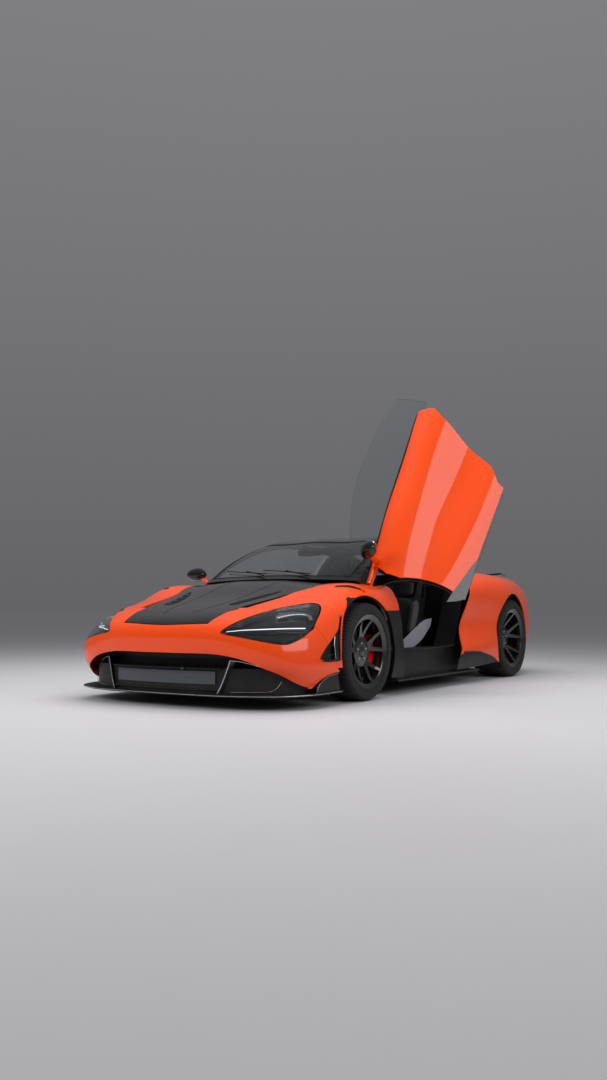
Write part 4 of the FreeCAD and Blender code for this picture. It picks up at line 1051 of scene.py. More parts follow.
class SUPERCAR_OT_headlamps(bpy.types.Operator):
    """Build the headlamp bowls, light bars, pods and lenses"""

    bl_idname = "supercar.headlamps"
    bl_label = "Build headlamps"

    def execute(self, context):
        for side, word in SIDES:
            body = body_of("headlamp_" + word)
            # The bowl falls from a thin rim to its floor, deepest under the light bar.
            bowl = skin_plate(body_skin, shrunk(LAMP_OUTLINE, 1.5), AHEAD,
                              lambda r: -4.0 if r > 0.93 else -44.0 + 8.0 * r,
                              lambda r: -52.0 if r < 0.95 else -40.0, 12, 5, **LAMP_ZONE)
            bowl.sided(side).piece("lamp_bowl_" + word, body, "gloss black paint", "lamp", 0, 40,
                                   replaces=("headlamp_" + word,))
            lens = skin_plate(body_skin, shrunk(LAMP_OUTLINE, 4.0), AHEAD, -1.5, -3.5, 7, 6, **LAMP_ZONE)
            lens.sided(side).piece("lamp_lens_" + word, body, "clear lens", "glass", 0, 40)
            rim = skin_line(body_skin, shrunk(LAMP_OUTLINE, 2.5), AHEAD, -1.5,
                            superellipse(0.0022, 0.0022, 2.0, 8), 6, True, **LAMP_ZONE)
            rim.sided(side).piece("lamp_rim_" + word, body, "rubber seal", "satin_black", 0, 40)
            for name, line, depths, section, steps, material in LAMP_RUNS:
                run = lamp_run(line, depths, superellipse(*section), steps)
                run.sided(side).piece("lamp_%s_%s" % (name, word), body, material, "lamp", 0, 40)
            eyes = Shape()
            for y, z in ((712, 556), (770, 562)):
                spot = on_skin(body_skin, [(y, z)], AHEAD, -0.016, **LAMP_ZONE)[0]
                eyes.lathe([(0.0, 0.010), (0.006, 0.0092), (0.011, 0.0060), (0.0135, 0.0015),
                            (0.0160, 0.0010), (0.0160, -0.006), (0.0, -0.006)], spot[0], 24, "X")
            eyes.sided(side).piece("lamp_projectors_" + word, body, "clear lens", "lamp", 0, 40)
        return {"FINISHED"}


VENT_OUTLINE = [(310, 568), (330, 560), (388, 479), (543, 371), (608, 308), (566, 286), (390, 288),
                (391, 340), (384, 400), (362, 479), (335, 530)]
SPLITTER_EDGE = [(335, 930), (640, 930), (780, 885), (893, 800), (1000, 600), (1045, 400), (1060, 0)]
SPLITTER_FIN = [(338, 84), (625, 84), (606, 130), (550, 168), (470, 194), (366, 204)]
VENT_ZONE = {"t_range": (1.0, 4.8), "s_range": (0.1, 4.0)}


def ahead(points):
    """Side outline points measured from the front axle, made absolute."""
    return [(AXLE + x, z) for x, z in points]


def whole_line(line, z, forward, share=1.0):
    """A line given from the middle outwards in mm, at one height, with its other half."""
    return ([mm(x + forward, -y * share, z) for x, y in reversed(line[1:])]
            + [mm(x + forward, y * share, z) for x, y in line])


PAINTED_HIGHLIGHT_LINES = [
    # outward direction, half width, half height, points beside and under the intake; silver strips that paint
    # the highlights along the intake's edges
    ((1, 0.2, 0), 0.0045, 0.0014, [(2322, 424, 95), (2314, 450, 150), (2303, 478, 225), (2296, 503, 300)]),
    ((1, 0.6, 0), 0.0024, 0.0012, [(2296, 503, 300), (2262, 560, 292), (2228, 620, 276), (2196, 668, 258)]),
    ((0.8, 0.6, 0), 0.0022, 0.0012, [(2294, 505, 108), (2238, 620, 108), (2176, 710, 111),
                                     (2150, 745, 130), (2128, 768, 170)]),
]
INTAKE_ARC = [(2345, 0), (2341, 120), (2330, 250), (2306, 400)]
INTAKE_PLAN = [(600, 868), (680, 838), (760, 790), (850, 700), (905, 600), (955, 450), (990, 250), (1000, 0)]


class SUPERCAR_OT_nose(bpy.types.Operator):
    """Build the intake fins, grilles, painted edge highlights, vent slats and lid ducts"""

    bl_idname = "supercar.nose"
    bl_label = "Build nose details"

    def execute(self, context):
        car = body_of("front_bumper")
        self.edge_lines(car)
        self.intake(car)
        self.vents(car)
        self.tops(car)
        return {"FINISHED"}

    def edge_lines(self, car):
        # A silver strip along the splitter's edge: a painted highlight where that edge catches the light.
        line = [mm(AXLE + x, y, 90) for x, y in SPLITTER_EDGE]
        line += [(x, -y, z) for x, y, z in reversed(line[:-1])]
        path = smooth_line(line, 8)
        outs = []
        for k, p in enumerate(path):
            along = path[min(k + 1, len(path) - 1)] - path[max(k - 1, 0)]
            outs.append(Vector((-along.y, along.x, 0)) * (1 if -along.y * p.x + along.x * p.y > 0 else -1))
        Shape().sweep(path, outs, superellipse(0.0022, 0.0012, 2.4, 10)).piece(
            "splitter_edge_painted_highlight", car, "silver painted highlight", "steel", 0, 40)
        # Silver strips along the outline of each corner fin: painted highlights on the fins' edges.
        line = smooth_line([mm(AXLE + x, 915.6, z) for x, z in SPLITTER_FIN[1:]], 5)
        fin = Shape().sweep(line, [(0, 1, 0)], superellipse(0.0018, 0.0009, 2.4, 10))
        fin.mirrored().piece("splitter_fin_painted_highlights", car, "silver painted highlight", "steel", 0, 40)

    def intake(self, car):
        fins, lines = Shape(), Shape()
        # An upright fin between the splitter and the bumper's lower edge, swept outwards at the foot.
        fins.prism([mm(2292, 500, 300), mm(2162, 545, 288), mm(2168, 490, 96), mm(2318, 430, 96)],
                   mm(0, 7, 0))
        # Silver strips along the intake's edges: painted highlights.
        for out, half, thick, line in PAINTED_HIGHLIGHT_LINES:
            lines.sweep(smooth_line([mm(*p) for p in line], 5), [out], superellipse(half, thick, 2.4, 10))
        fins.mirrored().piece("intake_fins", car, "gloss black paint", "gloss_black", 0.0015, 30)
        lines.mirrored().piece("intake_edge_painted_highlights", car, "silver painted highlight", "steel", 0, 40)
        centre = Shape()
        path = smooth_line(whole_line(INTAKE_ARC, 190, 1), 6)
        centre.sweep(path, [(1, 0, 0)], superellipse(0.040, 0.004, 4.0, 18))
        centre.piece("intake_centre_plate", car, "grey panel", "gloss_black", 0, 40)
        slats = Shape()
        for z in (118, 246):
            path = whole_line(INTAKE_ARC, z, -4, 1.1)
            slats.sweep(smooth_line(path, 6), [(1, 0, 0)], superellipse(0.006, 0.010, 3.0, 12))
        slats.piece("intake_slats", car, "satin black plastic", "satin_black", 0, 40)
        backing = Shape()
        inset = [(AXLE + x - 62, y * 0.97) for x, y in INTAKE_PLAN]
        front = [mm(x, y, 97) for x, y in inset] + [mm(x, -y, 97) for x, y in reversed(inset[:-1])]
        rings = []
        for x, y, _ in front:
            top = 0.400 - 0.17 * abs(y / 0.79) ** 2
            rings.append([(x, y, 0.101), (x, y, top), (x - 0.006, y, top), (x - 0.006, y, 0.101)])
        backing.loops(rings)
        backing.piece("intake_backing", car, "wire core", "satin_black", 0, 30)
        hook = Shape().lathe([(0.0, 0.012), (0.012, 0.011), (0.016, 0.004), (0.016, -0.012), (0.0, -0.012)],
                             mm(2339, 170, 246), 24, "X")
        hook.piece("tow_eye_cap", car, "gloss black paint", "gloss_black", 0, 40)
        bars = Shape()
        middle = [(AXLE + x - 52, y) for x, y in INTAKE_PLAN[:2:-1]]
        for z in range(262, 300, 12):
            path = smooth_line(whole_line(middle, z, 0), 4)
            bars.sweep(path, [(1, 0, 0)], superellipse(0.0018, 0.0018, 2.0, 6))
        bars.piece("intake_mesh_bars", car, "satin black plastic", "satin_black", 0, 40)

    def vents(self, car):
        edge = skin_line(body_skin, ahead(shrunk(VENT_OUTLINE, 2.0)), SIDE, 0.0,
                         superellipse(0.0022, 0.0016, 2.2, 8), 4, True, **VENT_ZONE)
        edge.mirrored().piece("vent_rims", car, "rubber seal", "satin_black", 0, 40)
        slat = skin_plate(body_skin, ahead([(392, 468), (420, 452), (440, 400), (444, 340), (440, 300),
                                            (408, 300), (410, 350), (402, 410)]), SIDE, -3.0, -7.0, 4, 5,
                          **VENT_ZONE)
        slat.mirrored().piece("vent_louvres", car, "gloss black paint", "gloss_black", 0.0008, 30)
        # A silver strip along the louvre's outer edge: a painted highlight on the real louvre.
        bright = skin_line(body_skin, ahead([(424, 450), (444, 400), (448, 345), (443, 300)]), SIDE, -3.0,
                           superellipse(0.0045, 0.0016, 2.4, 10), 6, **VENT_ZONE)
        bright.mirrored().piece("vent_louvre_painted_highlights", car, "silver painted highlight", "steel", 0, 40)

    def tops(self, car):
        # Narrow dark slot on the crown of each fender, with vanes across it.
        slot = [(1452, 742), (1428, 790), (1376, 852), (1312, 892), (1302, 880), (1346, 828), (1392, 770),
                (1424, 736)]
        zone = {"t_range": (4.2, 6.8), "s_range": (3.0, 4.9)}
        plate = skin_plate(body_skin, slot, TOP, 0.8, -1.0, 3, 4, **zone)
        plate.mirrored().piece("fender_slots", car, "satin black plastic", "satin_black", 0, 30)
        vanes = Shape()
        for k in range(5):
            x, y = 1424 - 24 * k, 768 + 24 * k
            start, out = on_skin(body_skin, [(x - 8, y - 10), (x + 12, y + 12)], TOP, 0.0012, **zone)
            vanes.sweep(start, out, superellipse(0.0030, 0.0012, 2.4, 8))
        vanes.mirrored().piece("fender_slot_vanes", car, "gloss black paint", "gloss_black", 0, 40)
        lid = body_of("front_lid")
        zone = {"t_range": (1.6, 6.0), "s_range": (3.4, 7.0)}
        # The lid's two hot air outlets: sunken dark trays with a blade across each.
        tray = skin_plate(body_skin, [(1985, 300), (1880, 330), (1730, 372), (1600, 404), (1590, 380),
                                      (1690, 318), (1820, 262), (1960, 240)], TOP, 0.5, -1.5, 4, 5, **zone)
        tray.mirrored().piece("lid_outlets", lid, "satin black plastic", "satin_black", 0, 30)
        blades = Shape()
        for k in range(4):
            pair = [(1960 - 92 * k, 256 + 24 * k), (1930 - 92 * k, 306 + 24 * k)]
            spots, outs = on_skin(body_skin, pair, TOP, 0.0022, **zone)
            blades.sweep(spots, outs, superellipse(0.0075, 0.0018, 2.4, 10))
        blades.mirrored().piece("lid_outlet_blades", lid, "gloss black paint", "gloss_black", 0, 40)
        seam = skin_line(body_skin, [(2190, 120), (2060, 150), (1860, 176), (1640, 196), (1420, 210),
                                     (1240, 216)], TOP, 0.3, superellipse(0.006, 0.0016, 2.0, 10), 6, **zone)
        seam.mirrored().piece("lid_creases", lid, "gloss black paint", "gloss_black", 0, 60)


DOOR_ZONE = {"t_range": (5.2, 10.2), "s_range": (0.0, 4.4)}
DOOR_PANEL = [(876, 237), (838, 170), (800, 122), (640, 124), (478, 130), (560, 160), (678, 190), (790, 222)]
ARCH_REACH, HUB_HEIGHT = 546, 327
DOOR_EDGE = ([(AXLE - math.sqrt(ARCH_REACH**2 - (z - HUB_HEIGHT) ** 2), z) for z in range(700, 130, -60)]
             + [(700, 136), (400, 136), (100, 136), (-60, 142), (-112, 204), (-212, 290), (-332, 530),
                (-430, 764), (-480, 826)])


def hang(door, shape, name, material, slot, angle=40):
    """A left shape as a piece on its door, turned over for the right one, where that door stands."""
    side, word, place = door
    return shape.sided(side).moved(place).piece("%s_%s" % (name, word), body_of("door_" + word), material,
                                                slot, 0, angle)


class SUPERCAR_OT_doors(bpy.types.Operator):
    """Build the door seals, lower panels, inner trims, struts and mirror glass"""

    bl_idname = "supercar.doors"
    bl_label = "Build door details"

    def execute(self, context):
        for door in ((1, "left", OPEN), (-1, "right", SHUT)):
            self.outside(door)
            self.inside(door)
            self.mirror(door)
        self.jambs(body_of("monocell_tub"))
        return {"FINISHED"}

    def outside(self, door):
        plate = skin_plate(body_skin, DOOR_PANEL, SIDE, 1.8, 0.3, 5, 5, False, **DOOR_ZONE)
        hang(door, plate, "door_lower_panel", "grey panel", "gloss_black")
        hem = skin_line(body_skin, [(806, 120), (640, 121), (400, 122), (150, 122), (-80, 124)], SIDE, 0.2,
                        superellipse(0.0045, 0.0015, 2.4, 10), 6, **DOOR_ZONE)
        hang(door, hem, "door_hem_strip", "gloss black paint", "gloss_black")
        seal = skin_line(body_skin, DOOR_EDGE, SIDE, -18.0, superellipse(0.0045, 0.0045, 2.0, 10), 5,
                         **DOOR_ZONE)
        hang(door, seal, "door_seal", "rubber seal", "satin_black", 50)
        belt = skin_line(canopy_skin, [(960, 790), (700, 815), (400, 846), (100, 868), (-200, 886),
                                       (-480, 905)], SIDE, 1.0, superellipse(0.005, 0.0022, 2.4, 10), 6,
                         s_range=(0.0, 1.2))
        hang(door, belt, "door_belt_strip", "rubber seal", "satin_black")

    def inside(self, door):
        card = skin_plate(body_skin, [(700, 660), (640, 300), (560, 190), (100, 180), (-90, 240), (-230, 480),
                                      (-330, 700), (-300, 770), (200, 740), (560, 700)], SIDE, -66.5, -71.0,
                          6, 5, True, **DOOR_ZONE)
        hang(door, card, "door_card", "bolster suede", "cabin_trim")
        rest = skin_line(body_skin, [(560, 560), (380, 500), (180, 480), (-20, 500), (-160, 560)], SIDE,
                         -74.0, superellipse(0.026, 0.011, 3.0, 18), 8, **DOOR_ZONE)
        piece = hang(door, rest, "door_armrest", "seat leather", "cabin_trim", 50)
        pull = skin_line(body_skin, [(330, 560), (240, 548), (150, 552)], SIDE, -78.0,
                         superellipse(0.008, 0.006, 2.2, 12), 8, **DOOR_ZONE)
        hang(door, pull, "door_pull", "dark alloy", "alloy", 50)
        speaker = Shape()
        spot = on_skin(body_skin, [(470, 330)], SIDE, -0.0735, **DOOR_ZONE)[0]
        speaker.lathe([(0.0, -0.004), (0.050, -0.004), (0.062, -0.002), (0.070, 0.001), (0.070, 0.006),
                       (0.0, 0.006)], spot[0], 36)
        hang(door, speaker, "door_speaker", "dark alloy", "alloy")

    def mirror(self, door):
        centre = Vector(mm(780, 990, 890))
        glass = Shape()
        ring = []
        for k in range(40):
            angle = 2 * math.pi * k / 40
            ring.append((0.070 * math.cos(angle), 0.040 * math.sin(angle)))
        rings = []
        for shrink, back in ((0.05, -0.0415), (0.6, -0.0420), (0.92, -0.0425), (1.0, -0.0420),
                             (1.0, -0.036)):
            rings.append([centre + Vector((back - 0.006, a * shrink, b * shrink)) for a, b in ring])
        glass.loops(rings)
        hang(door, glass, "mirror_glass", "mirror chrome", "glass")
        blade = Shape().sweep(smooth_line([mm(775, 800, 776), mm(776, 840, 800), mm(778, 895, 838),
                                           mm(779, 935, 862)], 5), [(1, 0, 0.1)],
                              superellipse(0.013, 0.024, 2.2, 20))
        hang(door, blade, "mirror_stalk", "orange paint", "body_orange", 50)
        band = Shape().sweep(smooth_line([centre + Vector((0.0, 0.092 * math.cos(a), 0.055 * math.sin(a)))
                                          for a in np.linspace(0, 2 * math.pi, 25)[:-1]], 3, True),
                             [(1, 0, 0)], superellipse(0.0016, 0.0022, 2.0, 8), True)
        hang(door, band, "mirror_band", "rubber seal", "satin_black")

    def jambs(self, car):
        for side, word in SIDES:
            # Double weather seal round the opening, on the tub.
            for step, radius, name in ((0, 0.0075, "outer"), (24, 0.0060, "inner")):
                y = 838 - step
                line = [(690, y, 312 - 0.4 * step), (400, y, 308), (0, y, 308), (-300, y - 4, 316),
                        (-420, y - 20, 360), (-480, y - 60, 480), (-530, y - 110, 640), (-560, y - 130, 760)]
                path = smooth_line([mm(*p) for p in line], 6)
                Shape().tube(path, radius).sided(side).piece("jamb_seal_%s_%s" % (name, word), car,
                                                             "rubber seal", "satin_black", 0, 50)
            jamb = Shape()
            jamb.prism([mm(-570, 640, 110), mm(-300, 640, 110), mm(-300, 640, 300), mm(-360, 640, 380),
                        mm(-480, 640, 640), mm(-560, 640, 860), mm(-596, 640, 860), mm(-596, 640, 110)],
                       mm(0, 180, 0))
            jamb.sided(side).piece("rear_jamb_" + word, car, "satin black plastic", "satin_black", 0.012, 30)
            plate = Shape().prism([mm(700, 700, 300.5), mm(700, 830, 300.5), mm(-280, 830, 300.5),
                                   mm(-280, 700, 300.5)], mm(0, 0, 3))
            plate.sided(side).piece("sill_plate_" + word, car, "carbon weave", "carbon", 0.0012, 30)
            tread = Shape()
            for k in range(5):
                tread.box(mm(-100 + 4, 745 + k * 14, 303.2), mm(300, 749 + k * 14, 305.0))
            tread.sided(side).piece("sill_treads_" + word, car, "dark alloy", "alloy", 0.0006, 30)
            strut = Shape().rod(mm(860, 742, 560), mm(905, 770, 690), 0.009)
            strut.rod(mm(850, 736, 520), mm(880, 754, 615), 0.012)
            strut.sided(side).piece("door_strut_" + word, car, "bright steel", "steel", 0, 40)


class SUPERCAR_OT_cabin(bpy.types.Operator):
    """Build the seats, belts, console, screens and pedals"""

    bl_idname = "supercar.cabin"
    bl_label = "Build cabin"

    def execute(self, context):
        car = body_of("seats")
        shells = Shape()
        for way in (1, -1):
            self.shell(shells, way * 330)
        shells.piece("seat_shells", car, "carbon weave", "carbon", 0.004, 30, replaces=("seats",))
        for way, word in SIDES:
            self.pads(car, way * 330, word)
            self.belt(car, way * 330, way, word)
            self.side_panel(car, way, word)
        self.console(car)
        return {"FINISHED"}

    def shell(self, shape, y):
        """Thin carbon tub under and behind the pads."""
        outer = [(232, 232), (210, 140), (60, 132), (-260, 134), (-330, 260), (-452, 760), (-424, 866),
                 (-400, 868), (-418, 770), (-305, 300), (-240, 190), (60, 180), (190, 220)]
        shape.prism([mm(x, y - 185, z) for x, z in outer], mm(0, 370, 0))
        for way in (1, -1):
            edge = [(150, 190), (170, 300), (60, 322), (-100, 318), (-160, 380), (-290, 680), (-345, 700),
                    (-330, 440), (-250, 200)]
            shape.prism([mm(x, y + way * 205 - 9, z) for x, z in edge], mm(0, 18, 0))

    def side_panel(self, car, way, word):
        """Pale wing on the outer side of the seat, rising to the back."""
        upper = smooth_line([mm(254, 0, 350), mm(160, 0, 352), mm(64, 0, 362), mm(-155, 0, 452),
                             mm(-327, 0, 512), mm(-470, 0, 530)], 6)
        lower = smooth_line([mm(-440, 0, 462), mm(-266, 0, 351), mm(-42, 0, 277), mm(136, 0, 240),
                             mm(252, 0, 216)], 6)
        outline = [p + Vector((0, 0.5485, 0)) for p in upper + lower]
        panel = Shape().prism(outline, (0, 0.008, 0))
        panel.sided(way).piece("seat_wing_" + word, car, "pale accent", "cabin_trim", 0.003, 30)

    def pad(self, name, car, path, outs, wide, thick, fill, material="seat leather"):
        """A crowned closed cushion along a path, drawn in at both ends."""
        line = smooth_line([mm(*p) for p in path], 6)
        count = len(line) - 1
        rings = []
        section = superellipse(1.0, 1.0, 3.0, 28)
        for k, point in enumerate(line):
            u = 2 * k / count - 1
            swell = max(0.02, (1 - abs(u) ** 6)) ** (1 / 2.6)
            along = (line[min(k + 1, count)] - line[max(k - 1, 0)]).normalized()
            out = Vector(outs)
            out = (out - along * out.dot(along)).normalized()
            across = along.cross(out)
            ring = []
            for a, b in section:
                crown = 1.0 + 0.22 * (1 - a * a) if b > 0 else 1.0
                ring.append(point + across * (a * wide / 1000 * swell)
                            + out * (b * crown * thick / 1000 * swell))
            rings.append(ring)
        shape = Shape().loops(rings)
        piece = shape.piece(name, car, material, "seat_leather", 0, 60, subdivide=1)

    def pads(self, car, y, word):
        up, fore = (0.1, 0, 1), (1, 0, 0.3)
        self.pad("seat_cushion_" + word, car, [(205, y, 262), (100, y, 252), (-40, y, 236), (-190, y, 222)],
                 up, 138, 34, 0.8)
        self.pad("seat_back_" + word, car, [(-215, y, 330), (-262, y, 450), (-312, y, 580), (-352, y, 700)],
                 fore, 132, 30, 0.8)
        self.pad("seat_head_" + word, car, [(-362, y, 716), (-386, y, 780), (-396, y, 846)], fore,
                 98, 24, 0.85)
        for way, hand in ((1, "outer"), (-1, "inner")):
            self.pad("seat_cushion_bolster_%s_%s" % (hand, word), car,
                     [(190, y + way * 172, 276), (60, y + way * 175, 288), (-120, y + way * 172, 286)],
                     (0.1, -way * 0.5, 1), 30, 34, 0.85, "bolster suede")
            self.pad("seat_back_bolster_%s_%s" % (hand, word), car,
                     [(-170, y + way * 172, 380), (-225, y + way * 176, 520), (-290, y + way * 170, 680)],
                     (1, -way * 0.5, 0.3), 30, 40, 0.85, "bolster suede")
        seams = Shape()
        for k in (-1, 0, 1):
            z = 268 + (5 if k == 0 else 1)
            seams.tube(smooth_line([mm(190, y + k * 62, z + 20), mm(60, y + k * 62, z + 12),
                                    mm(-150, y + k * 62, z - 12)], 6), 0.0016, 6)
            seams.tube(smooth_line([mm(-190, y + k * 60, 345), mm(-228, y + k * 60, 450),
                                    mm(-278, y + k * 60, 580), mm(-322, y + k * 60, 695)], 6), 0.0016, 6)
        seams.piece("seat_piping_" + word, car, "bolster suede", "seat_leather", 0, 60)
        slide = Shape()
        for way in (1, -1):
            slide.box(mm(-240, y + way * 130 - 14, 131), mm(180, y + way * 130 + 14, 141))
        slide.piece("seat_rails_" + word, car, "dark alloy", "alloy", 0.002, 30)

    def belt(self, car, y, way, word):
        strap = superellipse(0.0235, 0.0011, 6.0, 16)
        path = smooth_line([mm(-470, y + way * 178, 800), mm(-400, y + way * 172, 838),
                            mm(-372, y + way * 160, 800), mm(-322, y + way * 150, 640),
                            mm(-262, y + way * 158, 470), mm(-220, y + way * 196, 330)], 8)
        Shape().sweep(path, [(0.95, 0, 0.3)], strap).piece("seat_belt_" + word, car, "bolster suede",
                                                          "cabin_trim", 0, 50)
        buckle = Shape().box(mm(-218, y - way * 205 - 13, 270), mm(-196, y - way * 205 + 13, 342))
        buckle.piece("belt_buckle_" + word, car, "satin black plastic", "cabin_trim", 0.004, 30)

    def console(self, car):
        screen = Shape().prism([mm(444, -70, 560), mm(444, 70, 560), mm(478, 70, 735), mm(478, -70, 735)],
                               mm(-12, 0, 2))
        screen.piece("centre_screen", car, "gloss black paint", "gloss_black", 0.003, 30)
        dial = Shape().prism([mm(470, 220, 700), mm(470, 440, 700), mm(492, 440, 790), mm(492, 220, 790)],
                             mm(-14, 0, 3))
        dial.piece("driver_display", car, "gloss black paint", "gloss_black", 0.003, 30)
        hood = Shape().sweep(smooth_line([mm(500, 205, 742), mm(505, 250, 792), mm(508, 330, 806),
                                          mm(505, 410, 792), mm(500, 455, 742)], 8), [(-0.4, 0, 1)],
                             superellipse(0.045, 0.005, 4.0, 18))
        hood.piece("display_hood", car, "bolster suede", "cabin_trim", 0, 50)
        vents = Shape()
        for y in (-600, -440, 130, 560):
            for k in range(4):
                vents.box(mm(444 - 2, y - 42, 640 + k * 11), mm(452, y + 42, 644 + k * 11))
        vents.piece("dash_vents", car, "dark alloy", "alloy", 0.0008, 30)
        lever = Shape()
        for k in range(3):
            lever.lathe([(0, 0.010), (0.018, 0.009), (0.021, 0.004), (0.021, -0.004), (0, -0.004)],
                        mm(250 - k * 70, 0, 402 - k * 4), 28, "Z")
        lever.piece("console_switches", car, "dark alloy", "alloy", 0, 40)
        path = smooth_line([mm(60, 0, 372), mm(-120, 0, 376), mm(-360, 0, 372)], 8)
        rest = Shape().sweep(path, [(0, 0, 1)], superellipse(0.070, 0.018, 3.4, 24))
        rest.piece("console_armrest", car, "seat leather", "seat_leather", 0, 50)
        pedals = Shape()
        for y, w, z in ((330, 34, 210), (235, 24, 190)):
            pedals.prism([mm(790, y - w, z), mm(790, y + w, z), mm(752, y + w, z + 100),
                          mm(752, y - w, z + 100)], mm(8, 0, 2))
            pedals.rod(mm(780, y, z + 60), mm(850, y, z + 220), 0.007)
        pedals.piece("pedals", car, "bright steel", "steel", 0.0015, 30)
        mats = Shape()
        for way in (1, -1):
            mats.box(mm(240, way * 330 - 200, 131), mm(800, way * 330 + 200, 137))
        mats.piece("floor_mats", car, "cabin trim", "cabin_trim", 0.003, 30)
        wheel = body_of("steering_wheel")
        centre = Vector(mm(360, 330, 650))
        axis = Vector((-math.cos(math.radians(22)), 0, math.sin(math.radians(22))))
        up = Vector((0, 1, 0)).cross(axis)
        up = up if up.z > 0 else -up
        pad = Shape().loops([[centre + axis * d + Vector((0, 1, 0)) * (a * f) + up * (b * f)
                              for a, b in superellipse(0.062, 0.050, 3.0, 28)]
                             for d, f in ((0.018, 1.0), (0.030, 0.96), (0.036, 0.80), (0.038, 0.4))])
        pad.piece("steering_pad", wheel, "cabin trim", "cabin_trim", 0, 50)
        paddles = Shape()
        for way in (1, -1):
            base = centre - axis * 0.030 + Vector((0, way * 0.085, 0)) + up * 0.02
            paddles.sweep([base, base + Vector((0, way * 0.050, 0)) + up * 0.035], [tuple(axis)],
                          superellipse(0.018, 0.003, 3.0, 14))
        paddles.piece("shift_paddles", wheel, "carbon weave", "carbon", 0, 40)
        mirror = Shape().loops([[Vector(mm(596, 0, 1050)) + Vector((d, a * f, b * f))
                                 for a, b in superellipse(0.110, 0.028, 3.6, 28)]
                                for d, f in ((-0.006, 0.5), (-0.006, 0.94), (0.0, 1.0), (0.012, 0.7))])
        mirror.rod(mm(600, 0, 1052), mm(640, 0, 1084), 0.006)
        mirror.piece("rear_view_mirror", car, "satin black plastic", "cabin_trim", 0, 50)


TAIL = REAR - 0.745


class SUPERCAR_OT_tail(bpy.types.Operator):
    """Build the rear mesh, lamp frames, pipe tips, diffuser fins and wing edge"""

    bl_idname = "supercar.tail"
    bl_label = "Build tail details"

    def execute(self, context):
        car = body_of("tail_panel")
        x = TAIL - 0.0015
        bars = Shape()
        for k in range(15):
            z = 0.520 + 0.021 * k
            wide = 0.68 if z > 0.6 else 0.58
            for low, high in self.spans(z, wide):
                bars.box((x - 0.004, low, z), (x + 0.003, high, z + 0.0035))
        for k in range(-26, 27):
            y = 0.025 * k
            for low, high in self.columns(y):
                bars.box((x - 0.0032, y - 0.0016, low), (x + 0.003, y + 0.0016, high))
        bars.piece("rear_mesh", car, "satin black plastic", "satin_black", 0, 30)
        frames = Shape()
        for low in (0.690, 0.790):
            for z in (low - 0.010, low + 0.020):
                frames.sweep([(x - 0.001, 0.462, z), (x - 0.001, 0.773, z)], [(-1, 0, 0)],
                             superellipse(0.004, 0.005, 3.0, 10))
        frames.mirrored().piece("tail_lamp_frames", car, "gloss black paint", "gloss_black", 0, 40)
        surround = Shape()
        for y in (-0.105, 0.105):
            ring = superellipse(0.105, 0.055, 3.2, 40)
            surround.loops([[Vector((TAIL - d, y + a * f, 0.620 + b * f)) for a, b in ring]
                            for d, f in ((0.001, 1.0), (0.010, 0.99), (0.014, 0.95), (0.008, 0.90),
                                         (0.001, 0.90))], False)
        surround.piece("pipe_surrounds", car, "carbon weave", "carbon", 0, 50)
        inner = Shape()
        for y in (-0.150, -0.060, 0.060, 0.150):
            for profile in ([(0.0335, -0.040), (0.0375, -0.040), (0.0388, -0.037), (0.0388, -0.030),
                             (0.0335, -0.030)],
                            [(0.0, -0.012), (0.0325, -0.012), (0.0325, -0.008), (0.0, -0.008)]):
                inner.lathe(profile, (TAIL, y, 0.620), 36, "X")
        inner.piece("pipe_rims", car, "dark alloy", "steel", 0, 40)
        under = body_of("diffuser")
        fins = Shape()
        for y in (-480, -320, -160, 0, 160, 320, 480):
            fins.prism([mm(REAR * 1000 - 590, y - 3, 96), mm(REAR * 1000 - 700, y - 3, 96),
                        mm(REAR * 1000 - 764, y - 3, 300), mm(REAR * 1000 - 700, y - 3, 300)], mm(0, 6, 0))
        fins.piece("diffuser_fins", under, "carbon weave", "carbon", 0.001, 30)
        bolts = Shape()
        for bx in np.arange(-1.70, 2.20, 0.30):
            for by in (-0.42, -0.14, 0.14, 0.42):
                bolts.lathe([(0.0, -0.003), (0.007, -0.0025), (0.009, 0.0), (0.0, 0.0)],
                            (bx, by, 0.094), 8, "Z")
        bolts.piece("undertray_screws", body_of("undertray"), "bright steel", "steel", 0, 30)
        wing = body_of("rear_wing")
        spots = [body_skin.off(12.94, s, 0.0635)[0] for s in np.linspace(4.6, 9.4, 40)]
        Shape().sweep(spots, [(0, 0, 1)], superellipse(0.006, 0.0025, 2.4, 10)).piece(
            "wing_edge", wing, "carbon weave", "carbon", 0, 40)
        self.engine_cover(body_of("rear_deck"))
        self.haunch(body_of("quarter_left"))
        return {"FINISHED"}

    def spans(self, z, wide):
        if 0.545 < z < 0.68:
            return [(-wide, -0.215), (0.215, wide)]
        return [(-wide, wide)]

    def columns(self, y):
        top = 0.815
        if abs(y) < 0.215:
            return [(0.520, 0.560), (0.682, top)]
        return [(0.520, top)]

    def engine_cover(self, deck):
        slats = Shape()
        for k in range(5):
            t = 11.0 + 0.16 * k
            spots = [body_skin.off(t, s, 0.0012)[0] for s in np.linspace(5.9, 8.1, 18)]
            slats.sweep(spots, [(0, 0, 1)], superellipse(0.0065, 0.0022, 2.6, 10))
        slats.piece("deck_louvres", deck, "satin black plastic", "satin_black", 0, 40)

    def haunch(self, car):
        fin = skin_line(body_skin, [(-240, 262), (-300, 262), (-480, 258), (-700, 226), (-880, 186)], SIDE,
                        2.0, superellipse(0.004, 0.010, 3.0, 14), 6, t_range=(7.6, 10.8), s_range=(0.0, 1.6))
        fin.mirrored().piece("quarter_fins", car, "gloss black paint", "gloss_black", 0, 40)


